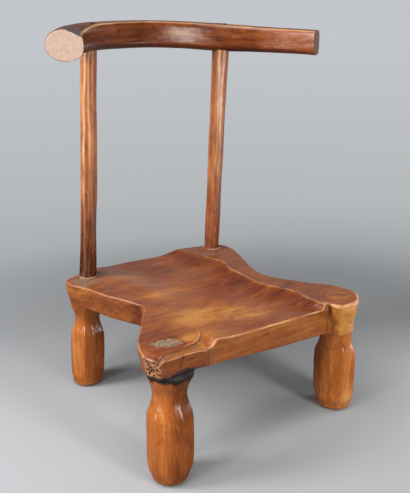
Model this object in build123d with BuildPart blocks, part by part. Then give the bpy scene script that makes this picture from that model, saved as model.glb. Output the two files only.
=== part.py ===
"""Birthing chair: a low four-legged seat with a hooped back rail on two posts.

A thick carved slab with four round corner lobes stands on four bottle-shaped legs. Each leg
ends in a round tenon that goes right through its lobe. The front tenons are spread by a wedge.
The back ones are bored on top and take the feet of two leaning posts, and the posts carry a
curved rail on tenons that are wedged from above.

The frame: +Z up, the floor at Z = 0, the sitter faces -Y, left and right are as seen from the
front (-X is left). All sizes are in millimetres.
"""

import os
from math import cos, radians, sin, tan

from build123d import *

# Seat slab
seat_top = 250.0  # floor to the top of the corner lobes
seat_underside = ((-88.0, 200.5), (3.0, 192.0), (150.0, 183.5))  # across it: x and height
seat_taper_height = 10.0  # above the left legs' seats, where the lobes start to taper
seat_lobe_taper = 9.0  # how far the lobes go in over that height
seat_undercut = 5.0  # how far the sides lean in from the top down to there
seat_front_undercut = 2.0
seat_edge_radius = 7.0
back_edge_crest = (-50.0, 236.0)
front_edge_y = -211.0
waist_y = -16.0
left_waist_x = -148.0
right_waist_x = 144.0

# Corner lobes of the slab: centre, radius, and the angles where the free edge starts and ends
front_left_lobe = (-195.5, -186.0)
front_right_lobe = (178.0, -191.0)
back_left_lobe = (-160.0, 172.0)
back_right_lobe = (151.0, 171.0)
front_left_lobe_radius = 50.0
front_right_lobe_radius = 49.0
back_left_lobe_radius = 48.0
back_right_lobe_radius = 47.0
front_left_lobe_angles = (152.0, 217.0)  # from there its front face is flat
front_right_lobe_angles = (252.0, 382.0)
back_left_lobe_angles = (95.0, 198.0)
back_right_lobe_angles = (-14.0, 85.0)

# Steps where the front lobes stand ahead of the seat's front edge
front_left_step = (-143.0, -214.5)
front_right_step = (140.0, -227.0)

# Hollow of the seat, a channel from the back edge to the front edge
hollow_depth = 11.0  # at the waist
hollow_back_depth = 8.5
hollow_front_left_depth = 5.0
hollow_front_right_depth = 12.5
hollow_half_width = 105.0  # at the waist
hollow_back_half_width = 123.0
hollow_front_half_width = 136.0
hollow_wall_run = 40.0  # how far the side of the hollow slopes in

# Slopes on the lobes' tops: each falls away to the left of a line, seen from its start
flake_line = ((-140.0, -200.5), (-255.0, -204.5))  # where a flake split off the front left
flake_slope = 40.0  # degrees
back_left_slope_line = ((-225.0, 182.5), (-100.0, 228.0))
back_right_slope_line = ((96.0, 230.5), (225.0, 183.5))
back_slope = 34.0  # degrees

# Legs: where each axis meets the floor and the seat's top, and the radii along it
left_leg_seat = 207.0  # height of the flat in the seat's underside that a left leg bears on
right_leg_seat = 198.5
front_left_foot = (-205.0, -197.0)
front_left_top = (-193.0, -182.0)
front_left_body_radius = 40.0
front_left_neck_radius = 27.5
front_left_collar_radius = 36.0
front_left_neck_height = 164.0
front_left_seat_radius = 56.0
front_right_foot = (202.0, -188.5)
front_right_top = (186.0, -193.0)
front_right_body_radius = 40.4
front_right_neck_radius = 30.5
front_right_collar_radius = 34.5
front_right_neck_height = 160.0
front_right_seat_radius = 40.0
back_left_foot = (-169.0, 193.0)
back_left_top = (-159.0, 185.0)
back_left_body_radius = 36.0
back_left_neck_radius = 26.0
back_left_collar_radius = 31.0
back_left_neck_height = 154.0
back_left_seat_radius = 52.0
back_right_foot = (169.0, 192.0)
back_right_top = (160.0, 185.0)
back_right_body_radius = 37.0
back_right_neck_radius = 27.0
back_right_collar_radius = 31.0
back_right_neck_height = 157.0
back_right_seat_radius = 46.0
leg_shoulder_drop = 44.0  # from the neck down to the full width
leg_foot_radius = 16.0
leg_foot_rounding = 38.0  # height of the rounding above the foot
leg_tenon_radius = 23.0

# Back posts: each stands on a back leg and meets the rail at an angle from the rail's middle
left_post_angle = -32.0
right_post_angle = 31.2
left_post_foot_radius = 16.0
left_post_top_radius = 14.9
right_post_foot_radius = 14.2
right_post_top_radius = 15.4
post_foot_tenon_radius = 10.0
post_top_tenon_radius = 11.0
post_socket_depth = 46.0
post_housing_depth = 5.0  # how far a post's end is let into the rail's underside

# Back rail: an arc in plan, round the sitter
rail_radius = 287.0
rail_centre = (3.0, -96.0)
rail_angles = (-74.2, -50.0, -28.0, -8.0, 12.0, 32.0, 52.0, 72.6)  # from its middle
rail_middle_z = (721.5, 725.5, 730.0, 732.6, 731.0, 725.2, 720.3, 716.0)
rail_heights = (45.5, 47.5, 49.0, 50.0, 50.4, 50.2, 45.6, 44.4)
rail_widths = (54.0, 51.0, 48.5, 48.0, 48.0, 47.5, 45.0, 44.0)
rail_corner_radii = (21.0, 19.0, 17.0, 17.0, 17.0, 16.0, 14.0, 12.5)
rail_right_end_skew = 16.0  # degrees that the right end is sawn off square
rail_end_chamfer = 1.5

# Wedges and putty
wedge_thickness = 4.5  # at the top, thinning to the tip
wedge_tip_thickness = 1.0
leg_wedge_depth = 32.0
post_wedge_depth = 24.0
wedge_side_margin = 2.0  # left at a tenon's edge on each side of its wedge
front_left_wedge_turn = 15.0  # degrees from the X axis, in plan
front_right_wedge_turn = -32.0
putty_width = 4.5
putty_height = 4.0

clearance = 0.15  # between any two pieces that fit in each other
overshoot = 10.0  # how far cutting tools run past what they cut
reach = 2 * rail_radius  # a length that is sure to span the seat


def on_floor(point):
    return Vector(*point, 0)


def on_seat(point):
    return Vector(*point, seat_top)


def level(height):
    return Plane.XY.offset(height)


def axis_plane(start, end, distance=0.0):
    """A plane square to the line from start to end, at a distance along it."""
    direction = (end - start).normalized()
    return Plane(origin=start + direction * distance, z_dir=direction)


def profile_plane(start, end):
    """A plane that holds the line from start to end: its X is the radius, its Y the line."""
    direction = (end - start).normalized()
    normal = Vector(1, 0, 0).cross(direction).normalized()
    return Plane(origin=start, x_dir=direction.cross(normal), z_dir=normal)


def write(piece, name):
    piece.part.label = name
    export_step(piece.part, f"parts/{name}.step")


# --- Seat ---------------------------------------------------------------------------------

left_underside = seat_underside[0][1]
right_underside = seat_underside[-1][1]
seat_lowest = min(height for x, height in seat_underside) - overshoot


def lobe_arc(centre, radius, angles, inset):
    return CenterArc(centre, radius - inset, angles[0], angles[1] - angles[0])


def seat_outline(height, inset, lobe_inset, front_inset):
    """The slab's outline at a height, drawn in by inset, but by lobe_inset at the lobes and by
    front_inset at the front edge."""
    with BuildSketch(level(height)) as outline:
        with BuildLine():
            back_left = lobe_arc(
                back_left_lobe, back_left_lobe_radius, back_left_lobe_angles, lobe_inset
            )
            front_left = lobe_arc(
                front_left_lobe, front_left_lobe_radius, front_left_lobe_angles, lobe_inset
            )
            front_right = lobe_arc(
                front_right_lobe, front_right_lobe_radius, front_right_lobe_angles, lobe_inset
            )
            back_right = lobe_arc(
                back_right_lobe, back_right_lobe_radius, back_right_lobe_angles, lobe_inset
            )
            Spline(
                back_left @ 1,
                (left_waist_x + inset, waist_y),
                front_left @ 0,
                tangents=[back_left % 1, front_left % 0],
            )
            left_step_x = front_left_step[0] - front_inset
            right_step_x = front_right_step[0] + front_inset
            Polyline(
                front_left @ 1,
                (left_step_x, front_left_step[1] + front_inset),
                (left_step_x, front_edge_y + front_inset),
                (right_step_x, front_edge_y + front_inset),
                (right_step_x, front_right_step[1] + lobe_inset),
                front_right @ 0,
            )
            Spline(
                front_right @ 1,
                (right_waist_x - inset, waist_y),
                back_right @ 0,
                tangents=[front_right % 1, back_right % 0],
            )
            Spline(
                back_right @ 1,
                (back_edge_crest[0], back_edge_crest[1] - inset),
                back_left @ 0,
                tangents=[back_right % 1, back_left % 0],
            )
        make_face()
    return outline.sketch


def seat_outlines():
    """The slab's outlines from below up: the lobes' taper, the leaning side, a rounded edge."""
    tapered = seat_undercut + seat_lobe_taper
    outlines = [
        seat_outline(seat_lowest, seat_undercut, tapered, seat_front_undercut),
        seat_outline(left_leg_seat, seat_undercut, tapered, seat_front_undercut),
        seat_outline(
            left_leg_seat + seat_taper_height,
            seat_undercut,
            seat_undercut,
            seat_front_undercut,
        ),
    ]
    for angle in (0, 30, 60, 90):
        rise = seat_edge_radius * (sin(radians(angle)) - 1)
        inset = seat_edge_radius * (1 - cos(radians(angle)))
        outlines.append(seat_outline(seat_top + rise, inset, inset, inset))
    return outlines


with BuildPart() as above_underside:
    with BuildSketch(Plane.XZ):
        with BuildLine():
            Polyline(
                (-reach, left_underside),
                *seat_underside,
                (reach, right_underside),
                (reach, seat_top + overshoot),
                (-reach, seat_top + overshoot),
                close=True,
            )
        make_face()
    extrude(amount=reach, both=True)


def hollow_section(y, half_width, left_depth, right_depth):
    """The hollow's section across the seat: two sloping walls that run into a flat floor."""
    middle = (left_waist_x + right_waist_x) / 2
    plane = Plane(origin=(middle, y, seat_top), x_dir=(1, 0, 0), z_dir=(0, -1, 0))
    with BuildSketch(plane) as section:
        with BuildLine():
            floor = Spline(
                (-half_width, 0),
                (-half_width + hollow_wall_run, -left_depth),
                (half_width - hollow_wall_run, -right_depth),
                (half_width, 0),
                tangents=[
                    (hollow_wall_run, -2 * left_depth),
                    (hollow_wall_run, 2 * right_depth),
                ],
            )
            Polyline(
                floor @ 1, (half_width, overshoot), (-half_width, overshoot), floor @ 0
            )
        make_face()
    return section.sketch


def hollow_sections(y, half_width, left_depth, right_depth):
    """The hollow's section at an end, and one halfway to the waist that is nearly as wide."""
    halfway = hollow_section(
        (y + waist_y) / 2,
        (3 * half_width + hollow_half_width) / 4,
        (left_depth + hollow_depth) / 2,
        (right_depth + hollow_depth) / 2,
    )
    return [hollow_section(y, half_width, left_depth, right_depth), halfway]


with BuildPart() as hollow:
    front = hollow_sections(
        front_edge_y - front_left_lobe_radius,
        hollow_front_half_width,
        hollow_front_left_depth,
        hollow_front_right_depth,
    )
    waist = hollow_section(waist_y, hollow_half_width, hollow_depth, hollow_depth)
    back = hollow_sections(
        back_edge_crest[1] + back_left_lobe_radius,
        hollow_back_half_width,
        hollow_back_depth,
        hollow_back_depth,
    )
    loft([*front, waist, *reversed(back)])


def slope_tool(line, slope):
    """A block to take off the slab's top, with an underside that falls away from a line."""
    start, end = on_seat(line[0]), on_seat(line[1])
    along = end - start
    fall = reach * tan(radians(slope))
    with BuildPart() as tool:
        with BuildSketch(Plane(origin=start, x_dir=(-along.Y, along.X, 0), z_dir=along)):
            with BuildLine():
                Polyline((0, 0), (reach, -fall), (reach, overshoot), (0, overshoot), close=True)
            make_face()
        extrude(amount=along.length)
    return tool.part


slope_tools = [
    slope_tool(flake_line, flake_slope),
    slope_tool(back_left_slope_line, back_slope),
    slope_tool(back_right_slope_line, back_slope),
]

with BuildPart() as seat:
    loft(seat_outlines(), ruled=True)
    add(above_underside.part, mode=Mode.INTERSECT)
    add(hollow.part, mode=Mode.SUBTRACT)
    add(slope_tools, mode=Mode.SUBTRACT)
    for foot, top, seat_height, seat_radius in (
        (front_left_foot, front_left_top, left_leg_seat, front_left_seat_radius),
        (front_right_foot, front_right_top, right_leg_seat, front_right_seat_radius),
        (back_left_foot, back_left_top, left_leg_seat, back_left_seat_radius),
        (back_right_foot, back_right_top, right_leg_seat, back_right_seat_radius),
    ):
        with BuildSketch(level(seat_height)):
            with Locations(top):
                Circle(seat_radius)
        extrude(amount=-seat_height, mode=Mode.SUBTRACT)
        with BuildSketch(axis_plane(on_floor(foot), on_seat(top))):
            Circle(leg_tenon_radius + clearance)
        extrude(amount=seat_top + overshoot, mode=Mode.SUBTRACT)


# --- Legs ---------------------------------------------------------------------------------


def leg(foot, top, seat_height, body_radius, neck_radius, collar_radius, neck_height):
    """A bottle-shaped leg turned about its leaning axis, with its tenon up to the seat's top."""
    start, end = on_floor(foot), on_seat(top)
    with BuildPart() as piece:
        with BuildSketch(profile_plane(start, end)):
            with BuildLine():
                rounding = Spline(
                    (leg_foot_radius, 0),
                    (body_radius, leg_foot_rounding),
                    tangents=[(1, 0.7), (0, 1)],
                )
                neck = Spline(
                    (body_radius, neck_height - leg_shoulder_drop),
                    (neck_radius, neck_height),
                    (collar_radius, seat_height),
                    tangents=[(0, 1), (0.35, 1)],
                )
                Line(rounding @ 1, neck @ 0)
                Polyline(
                    neck @ 1,
                    (collar_radius, seat_top),
                    (0, seat_top),
                    (0, -overshoot),
                    (leg_foot_radius, -overshoot),
                    rounding @ 0,
                )
            make_face()
        revolve(axis=Axis(start, end - start))
        split(bisect_by=level(0), keep=Keep.TOP)
        split(bisect_by=level(seat_height), keep=Keep.BOTTOM)
        with BuildSketch(axis_plane(start, end, neck_height)):
            Circle(leg_tenon_radius)
        extrude(amount=seat_top)
        split(bisect_by=level(seat_top), keep=Keep.BOTTOM)
        add(slope_tools, mode=Mode.SUBTRACT)
    return piece.part


def wedge(plane, depth, half_width, gap):
    """A wedge driven down into a tenon's end: the plane's origin is at the tenon's end, its Z
    up the tenon and its X along the wedge. It stands proud, to be trimmed with the tenon, and
    gap is what its slit has on each side."""
    top_thickness = wedge_thickness + 2 * gap
    tip_thickness = wedge_tip_thickness + 2 * gap
    growth = (wedge_thickness - wedge_tip_thickness) * overshoot / depth
    with BuildPart() as piece:
        with BuildSketch(plane.offset(-depth - gap)):
            Rectangle(2 * (half_width + gap), tip_thickness)
        with BuildSketch(plane.offset(overshoot)):
            Rectangle(2 * (half_width + gap), top_thickness + growth)
        loft()
    return piece.part


def leg_wedge_plane(foot, top, turn):
    plane = axis_plane(on_floor(foot), on_seat(top))
    end = Plane(origin=on_seat(top), x_dir=Vector(0, 1, 0).cross(plane.z_dir), z_dir=plane.z_dir)
    return end.rotated((0, 0, turn))


leg_wedge_half_width = leg_tenon_radius - wedge_side_margin


def slit_leg(blank, foot, top, turn):
    """A leg whose tenon has a slit for its wedge."""
    plane = leg_wedge_plane(foot, top, turn)
    slit = wedge(plane, leg_wedge_depth, leg_wedge_half_width, clearance)
    with BuildPart() as piece:
        add(blank)
        add(slit, mode=Mode.SUBTRACT)
    return piece


def leg_wedge(foot, top, turn):
    """A wedge trimmed level with the seat's top."""
    plane = leg_wedge_plane(foot, top, turn)
    with BuildPart() as piece:
        add(wedge(plane, leg_wedge_depth, leg_wedge_half_width, 0))
        split(bisect_by=level(seat_top), keep=Keep.BOTTOM)
        add(slope_tools, mode=Mode.SUBTRACT)
    return piece


def bored_leg(blank, top, post_angle):
    """A leg whose tenon is bored on top for the foot of a post."""
    with BuildPart() as piece:
        add(blank)
        with BuildSketch(axis_plane(on_seat(top), post_shoulder(post_angle), overshoot)):
            Circle(post_foot_tenon_radius + clearance)
        extrude(amount=-post_socket_depth - clearance - overshoot, mode=Mode.SUBTRACT)
    return piece


rail_stations = list(
    zip(rail_angles, rail_middle_z, rail_heights, rail_widths, rail_corner_radii)
)


def rail_sizes(angle):
    """The rail's middle height, height, width and corner radius at an angle, each in line
    between the stations on its two sides."""
    for last, following in zip(rail_stations, rail_stations[1:]):
        if angle <= following[0]:
            break
    share = (angle - last[0]) / (following[0] - last[0])
    return [size + share * (goal - size) for size, goal in zip(last[1:], following[1:])]


def rail_point(angle, height):
    """A point on the rail's arc, at an angle from its middle that is positive to the right."""
    return Vector(
        rail_centre[0] + rail_radius * sin(radians(angle)),
        rail_centre[1] + rail_radius * cos(radians(angle)),
        height,
    )


def post_shoulder(angle):
    """The middle of a post's upper shoulder, in its housing in the rail's underside."""
    middle, height, _, _ = rail_sizes(angle)
    return rail_point(angle, middle - height / 2 + post_housing_depth)


front_left_leg = slit_leg(
    leg(
        front_left_foot,
        front_left_top,
        left_leg_seat,
        front_left_body_radius,
        front_left_neck_radius,
        front_left_collar_radius,
        front_left_neck_height,
    ),
    front_left_foot,
    front_left_top,
    front_left_wedge_turn,
)
front_left_wedge = leg_wedge(front_left_foot, front_left_top, front_left_wedge_turn)
front_right_leg = slit_leg(
    leg(
        front_right_foot,
        front_right_top,
        right_leg_seat,
        front_right_body_radius,
        front_right_neck_radius,
        front_right_collar_radius,
        front_right_neck_height,
    ),
    front_right_foot,
    front_right_top,
    front_right_wedge_turn,
)
front_right_wedge = leg_wedge(front_right_foot, front_right_top, front_right_wedge_turn)
back_left_leg = bored_leg(
    leg(
        back_left_foot,
        back_left_top,
        left_leg_seat,
        back_left_body_radius,
        back_left_neck_radius,
        back_left_collar_radius,
        back_left_neck_height,
    ),
    back_left_top,
    left_post_angle,
)
back_right_leg = bored_leg(
    leg(
        back_right_foot,
        back_right_top,
        right_leg_seat,
        back_right_body_radius,
        back_right_neck_radius,
        back_right_collar_radius,
        back_right_neck_height,
    ),
    back_right_top,
    right_post_angle,
)


# --- Back rail ----------------------------------------------------------------------------


def rail_section(station, skew):
    """The rail's section at a station, on a plane turned by skew about the vertical."""
    angle, middle, height, width, corner = station
    facing = radians(angle - skew)
    plane = Plane(
        origin=rail_point(angle, middle),
        x_dir=(sin(facing), cos(facing), 0),
        z_dir=(cos(facing), -sin(facing), 0),
    )
    with BuildSketch(plane) as section:
        RectangleRounded(width / cos(radians(skew)), height, corner)
    return section.sketch


with BuildPart() as rail_blank:
    loft(
        [
            *(rail_section(station, 0) for station in rail_stations[:-1]),
            rail_section(rail_stations[-1], rail_right_end_skew),
        ]
    )
    sawn_ends = rail_blank.faces().filter_by(GeomType.PLANE)
    chamfer(sawn_ends.edges(), rail_end_chamfer)


# --- Posts --------------------------------------------------------------------------------


def post_wedge_plane(foot, angle):
    """The end of a post's upper tenon, level with the rail's top there."""
    start, shoulder = on_seat(foot), post_shoulder(angle)
    direction = (shoulder - start).normalized()
    rise = rail_sizes(angle)[1] - post_housing_depth
    end = shoulder + direction * (rise / direction.Z)
    return Plane(origin=end, x_dir=Vector(0, 1, 0).cross(direction), z_dir=direction)


post_wedge_half_width = post_top_tenon_radius - wedge_side_margin


def post(foot, angle, foot_radius, top_radius):
    """A round post with a tenon at both ends, the upper one trimmed flush with the rail."""
    start, shoulder = on_seat(foot), post_shoulder(angle)
    length = (shoulder - start).length
    slit = wedge(
        post_wedge_plane(foot, angle), post_wedge_depth, post_wedge_half_width, clearance
    )
    with BuildPart() as piece:
        with BuildSketch(axis_plane(start, shoulder, length)):
            Circle(post_top_tenon_radius)
        extrude(amount=rail_radius)
        add(rail_blank.part, mode=Mode.INTERSECT)
        add(slit, mode=Mode.SUBTRACT)
        with BuildSketch(profile_plane(start, shoulder)):
            with BuildLine():
                Polyline(
                    (foot_radius, 0),
                    (top_radius, length),
                    (0, length),
                    (0, -overshoot),
                    (foot_radius, -overshoot),
                    close=True,
                )
            make_face()
        revolve(axis=Axis(start, shoulder - start))
        split(bisect_by=level(seat_top), keep=Keep.TOP)
        with BuildSketch(axis_plane(start, shoulder, overshoot)):
            Circle(post_foot_tenon_radius)
        extrude(amount=-post_socket_depth - overshoot)
    return piece


def post_wedge(foot, angle):
    """A wedge trimmed flush with the rail."""
    with BuildPart() as piece:
        add(wedge(post_wedge_plane(foot, angle), post_wedge_depth, post_wedge_half_width, 0))
        add(rail_blank.part, mode=Mode.INTERSECT)
    return piece


def putty(foot, angle, foot_radius):
    """A ring of putty with a sloping side, pressed round a post's foot."""
    start, shoulder = on_seat(foot), post_shoulder(angle)
    inner = foot_radius + clearance
    with BuildPart() as piece:
        with BuildSketch(profile_plane(start, shoulder)):
            with BuildLine():
                Polyline(
                    (inner, -overshoot),
                    (inner, putty_height),
                    (inner + putty_width, 0),
                    (inner + putty_width, -overshoot),
                    close=True,
                )
            make_face()
        revolve(axis=Axis(start, shoulder - start))
        split(bisect_by=level(seat_top), keep=Keep.TOP)
    return piece


left_post = post(back_left_top, left_post_angle, left_post_foot_radius, left_post_top_radius)
right_post = post(
    back_right_top, right_post_angle, right_post_foot_radius, right_post_top_radius
)
left_post_wedge = post_wedge(back_left_top, left_post_angle)
right_post_wedge = post_wedge(back_right_top, right_post_angle)
left_post_putty = putty(back_left_top, left_post_angle, left_post_foot_radius)
right_post_putty = putty(back_right_top, right_post_angle, right_post_foot_radius)

with BuildPart() as back_rail:
    add(rail_blank.part)
    for foot, angle, top_radius in (
        (back_left_top, left_post_angle, left_post_top_radius),
        (back_right_top, right_post_angle, right_post_top_radius),
    ):
        start, shoulder = on_seat(foot), post_shoulder(angle)
        shoulder_plane = axis_plane(start, shoulder, (shoulder - start).length)
        with BuildSketch(shoulder_plane):
            Circle(top_radius + clearance)
        extrude(amount=-rail_radius, mode=Mode.SUBTRACT)
        with BuildSketch(shoulder_plane):
            Circle(post_top_tenon_radius + clearance)
        extrude(amount=rail_radius, mode=Mode.SUBTRACT)


if __name__ == "__main__":
    os.makedirs("parts", exist_ok=True)
    write(seat, "seat")
    write(front_left_leg, "front_left_leg")
    write(front_right_leg, "front_right_leg")
    write(back_left_leg, "back_left_leg")
    write(back_right_leg, "back_right_leg")
    write(front_left_wedge, "front_left_wedge")
    write(front_right_wedge, "front_right_wedge")
    write(left_post, "left_post")
    write(right_post, "right_post")
    write(left_post_wedge, "left_post_wedge")
    write(right_post_wedge, "right_post_wedge")
    write(left_post_putty, "left_post_putty")
    write(right_post_putty, "right_post_putty")
    write(back_rail, "back_rail")
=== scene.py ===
"""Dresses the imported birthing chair: carved wood surfaces over the fixed frame, and a plain stage.

Every shape is worked out in millimetres in the chair's own frame (+Z up, floor at 0, the sitter
faces -Y) and put into the mesh in metres.
"""
import functools
import math

import bpy
import numpy as np
from bpy.props import FloatProperty, FloatVectorProperty, IntProperty, PointerProperty
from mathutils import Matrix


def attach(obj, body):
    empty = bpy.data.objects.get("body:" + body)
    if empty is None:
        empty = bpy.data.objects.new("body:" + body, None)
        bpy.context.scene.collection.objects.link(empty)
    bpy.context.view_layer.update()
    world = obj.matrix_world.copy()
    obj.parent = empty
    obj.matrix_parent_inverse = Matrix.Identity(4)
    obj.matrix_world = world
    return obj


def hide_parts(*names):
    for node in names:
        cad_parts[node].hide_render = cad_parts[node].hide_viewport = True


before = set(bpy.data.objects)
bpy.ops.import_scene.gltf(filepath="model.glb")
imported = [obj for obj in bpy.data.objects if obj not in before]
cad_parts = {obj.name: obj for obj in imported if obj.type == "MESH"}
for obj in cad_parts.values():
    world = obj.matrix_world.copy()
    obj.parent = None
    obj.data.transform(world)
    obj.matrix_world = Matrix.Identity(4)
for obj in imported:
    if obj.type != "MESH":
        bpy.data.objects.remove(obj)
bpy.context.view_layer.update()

bl_info = {
    "name": "Birthing Chair",
    "version": (1, 0, 0),
    "blender": (4, 5, 0),
    "location": "View3D > Sidebar > Chair",
    "description": "Carved wooden birthing chair with a curved back rail",
    "category": "Add Mesh",
}

MM = 0.001
SEAT_TOP = 250.0
LEFT_SEAT, RIGHT_SEAT = 207.0, 198.5  # where the legs bear on the seat's underside


# --- Numbers on arrays ----------------------------------------------------------------------


def ramp(low, high, value):
    """A step from 0 at low to 1 at high with level ends: t = (value - low) / (high - low), held
    between 0 and 1, gives 3 t^2 - 2 t^3."""
    t = np.clip((value - low) / (high - low), 0, 1)
    return t * t * (3 - 2 * t)


def hump(distance, width):
    """A round hump, 1 at distance 0: e to the minus (distance / width) squared."""
    return np.exp(-((distance / width) ** 2))


def most(*values):
    """The greatest of several arrays at each point."""
    return functools.reduce(np.maximum, values)


def lattice(cells, seed):
    """A fixed random number from -1 to 1 for each whole-number cell: its three numbers times odd
    constants are added, then shifted, mixed and multiplied again."""
    cells = cells.astype(np.int64).astype(np.uint32)
    h = cells[..., 0] * np.uint32(374761393) + cells[..., 1] * np.uint32(668265263)
    h = h + cells[..., 2] * np.uint32(2246822519) + np.uint32(seed * 97531)
    h = (h ^ (h >> np.uint32(13))) * np.uint32(1274126177)
    return (h ^ (h >> np.uint32(16))) / 2.0**31 - 1


def noise(points, size, seed):
    """Smooth noise from -1 to 1: the random numbers at the eight corners of the cell round each
    point, each weighted by 6 t^5 - 15 t^4 + 10 t^3 along the three axes."""
    cell = points / np.asarray(size, float)
    low = np.floor(cell)
    t = cell - low
    t = t * t * t * (t * (t * 6 - 15) + 10)
    total = 0.0
    for corner in np.ndindex(2, 2, 2):
        weight = np.prod(np.where(np.array(corner, bool), t, 1 - t), axis=-1)
        total = total + weight * lattice(low + np.array(corner), seed)
    return total


def rough(points, size, seed, octaves=3):
    """Noise at several sizes: each next one is half the size and half the height."""
    size = np.asarray(size, float)
    return sum(noise(points, size / 2**k, seed + k) / 2**k for k in range(octaves))


def spline(at, knots, values):
    """A natural cubic spline through the values at the knots, from its second derivatives."""
    knots, values = np.asarray(knots, float), np.asarray(values, float)
    step, slope = np.diff(knots), np.diff(values) / np.diff(knots)
    system = np.eye(len(knots))
    rows = np.arange(1, len(knots) - 1)
    system[rows, rows - 1], system[rows, rows + 1] = step[:-1], step[1:]
    system[rows, rows] = 2 * (step[:-1] + step[1:])
    bend = np.linalg.solve(system, np.concatenate([[0], 6 * np.diff(slope), [0]]))
    at = np.clip(at, knots[0], knots[-1])
    i = np.clip(np.searchsorted(knots, at) - 1, 0, len(step) - 1)
    left, right = at - knots[i], knots[i + 1] - at
    return (
        bend[i] * right**3 / (6 * step[i])
        + bend[i + 1] * left**3 / (6 * step[i])
        + (values[i] / step[i] - bend[i] * step[i] / 6) * right
        + (values[i + 1] / step[i] - bend[i + 1] * step[i] / 6) * left
    )


def beyond(x, y, line):
    """The distance of each point from the nearest straight piece of a bent line, positive to
    the left of its run."""
    best = np.full(np.shape(x), 1e9)
    side = np.zeros_like(best)
    for (x0, y0), (x1, y1) in zip(line, line[1:]):
        length = math.hypot(x1 - x0, y1 - y0)
        dx, dy = (x1 - x0) / length, (y1 - y0) / length
        t = np.clip((x - x0) * dx + (y - y0) * dy, 0, length)
        ex, ey = x - x0 - dx * t, y - y0 - dy * t
        distance = np.hypot(ex, ey)
        side = np.where(distance < best, np.sign(dx * ey - dy * ex), side)
        best = np.minimum(distance, best)
    return best * side


def facets(angles, sides, sharpness):
    """The radius of a section with flat sides at each angle. A side is the direction it faces and
    its distance from the middle: r = (sum of (cos(angle - direction) / distance)^p)^(-1/p), so
    the nearest side counts and a greater p makes crisper edges."""
    total = 0.0
    for direction, distance in sides:
        total = total + np.maximum(np.cos(angles - direction) / distance, 0) ** sharpness
    return total ** (-1 / sharpness)


# --- Meshes ---------------------------------------------------------------------------------


def shell(name, rings, marks):
    """Makes a closed mesh from rings of points in mm: rings[row, column], its columns going
    round. The first and the last ring close on their middle points. marks are named numbers or
    places for the materials, for each point of the rings, for each ring, or one for all."""
    rows, columns, _ = rings.shape
    points = np.vstack([rings.reshape(-1, 3), rings[:1].mean(1), rings[-1:].mean(1)])
    row = np.arange(rows - 1)[:, None] * columns
    here, after = np.arange(columns), (np.arange(columns) + 1) % columns
    quads = np.stack([row + here, row + after, row + columns + after, row + columns + here], -1)
    quads = quads.reshape(-1, 4)
    last, middle = (rows - 1) * columns, np.full(columns, rows * columns)
    fans = np.vstack([np.stack([after, here, middle], -1),
                      np.stack([last + here, last + after, middle + 1], -1)])
    a, b, c, d = (points[quads[:, k]] for k in range(4))
    volume = np.einsum("ij,ij->", a, np.cross(b, c)) + np.einsum("ij,ij->", a, np.cross(c, d))
    if volume < 0:
        quads, fans = quads[:, ::-1], fans[:, ::-1]
    corners = np.concatenate([quads.ravel(), fans.ravel()]).astype(np.int32)
    starts = np.concatenate([np.arange(len(quads)) * 4, len(quads) * 4 + np.arange(len(fans)) * 3])
    mesh = bpy.data.meshes.new(name)
    mesh.vertices.add(len(points))
    mesh.vertices.foreach_set("co", (points * MM).astype(np.float32).ravel())
    mesh.loops.add(len(corners))
    mesh.loops.foreach_set("vertex_index", corners)
    mesh.polygons.add(len(starts))
    mesh.polygons.foreach_set("loop_start", starts.astype(np.int32))
    mesh.polygons.foreach_set("use_smooth", np.ones(len(starts), bool))
    mesh.update(calc_edges=True)
    for mark, values in marks.items():
        kind, value = ("FLOAT_VECTOR", "vector") if np.ndim(values) == 3 else ("FLOAT", "value")
        values = np.broadcast_to(values, (rows, columns, *np.shape(values)[2:]))
        ends = np.stack([values[0].mean(0), values[-1].mean(0)])
        values = np.concatenate([values.reshape(rows * columns, -1), ends.reshape(2, -1)])
        layer = mesh.attributes.new(mark, kind, "POINT")
        layer.data.foreach_set(value, values.astype(np.float32).ravel())
    piece = bpy.data.objects.new(name, mesh)
    bpy.context.scene.collection.objects.link(piece)
    return piece


def settle(piece, node, material):
    """Puts the finished piece in the place of a node of the frame."""
    piece.data.materials.append(material)
    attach(piece, "root")
    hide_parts(node)


# --- Materials ------------------------------------------------------------------------------


def linear(colour):
    """An sRGB hex colour as linear red, green, blue and alpha."""
    parts = [int(colour[i : i + 2], 16) / 255 for i in (1, 3, 5)]
    return (*(p / 12.92 if p <= 0.04045 else ((p + 0.055) / 1.055) ** 2.4 for p in parts), 1.0)


def add(tree, kind, stops=(), **values):
    """Adds a shader node with its colour stops, settings and inputs. A name in small letters is
    a setting. Any other is an input, named for its socket or by _ and its number: it takes a
    number, a colour, or the output that is linked to it, and a node stands for its first
    output."""
    node = tree.nodes.new("ShaderNode" + kind)
    if stops:
        elements = node.color_ramp.elements
        for _ in stops[2:]:
            elements.new(1.0)
        for element, stop in zip(elements, stops):
            element.position, element.color = stop
    for name, value in values.items():
        if name[0].islower():
            setattr(node, name, value)
            continue
        socket = node.inputs[int(name[1:]) if name[0] == "_" else name.replace("_", " ")]
        if isinstance(value, bpy.types.Node):
            value = value.outputs[0]
        if isinstance(value, bpy.types.NodeSocket):
            tree.links.new(value, socket)
        else:
            socket.default_value = value
    return node


def new_material(name):
    """A material without nodes, and its node tree."""
    material = bpy.data.materials.new(name)
    material.use_nodes = True
    material.node_tree.nodes.clear()
    return material, material.node_tree


# --- Seat -----------------------------------------------------------------------------------

# x and y of the middle of each leg's tenon in the seat's top, and of its foot on the floor
LEG_TOPS = {
    "front_left": (-193.0, -182.0),
    "front_right": (186.0, -193.0),
    "back_left": (-159.0, 185.0),
    "back_right": (160.0, 185.0),
}
LEG_FEET = {
    "front_left": (-202.0, -192.5),
    "front_right": (205.5, -183.5),
    "back_left": (-166.0, 197.0),
    "back_right": (169.0, 192.0),
}
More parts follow.
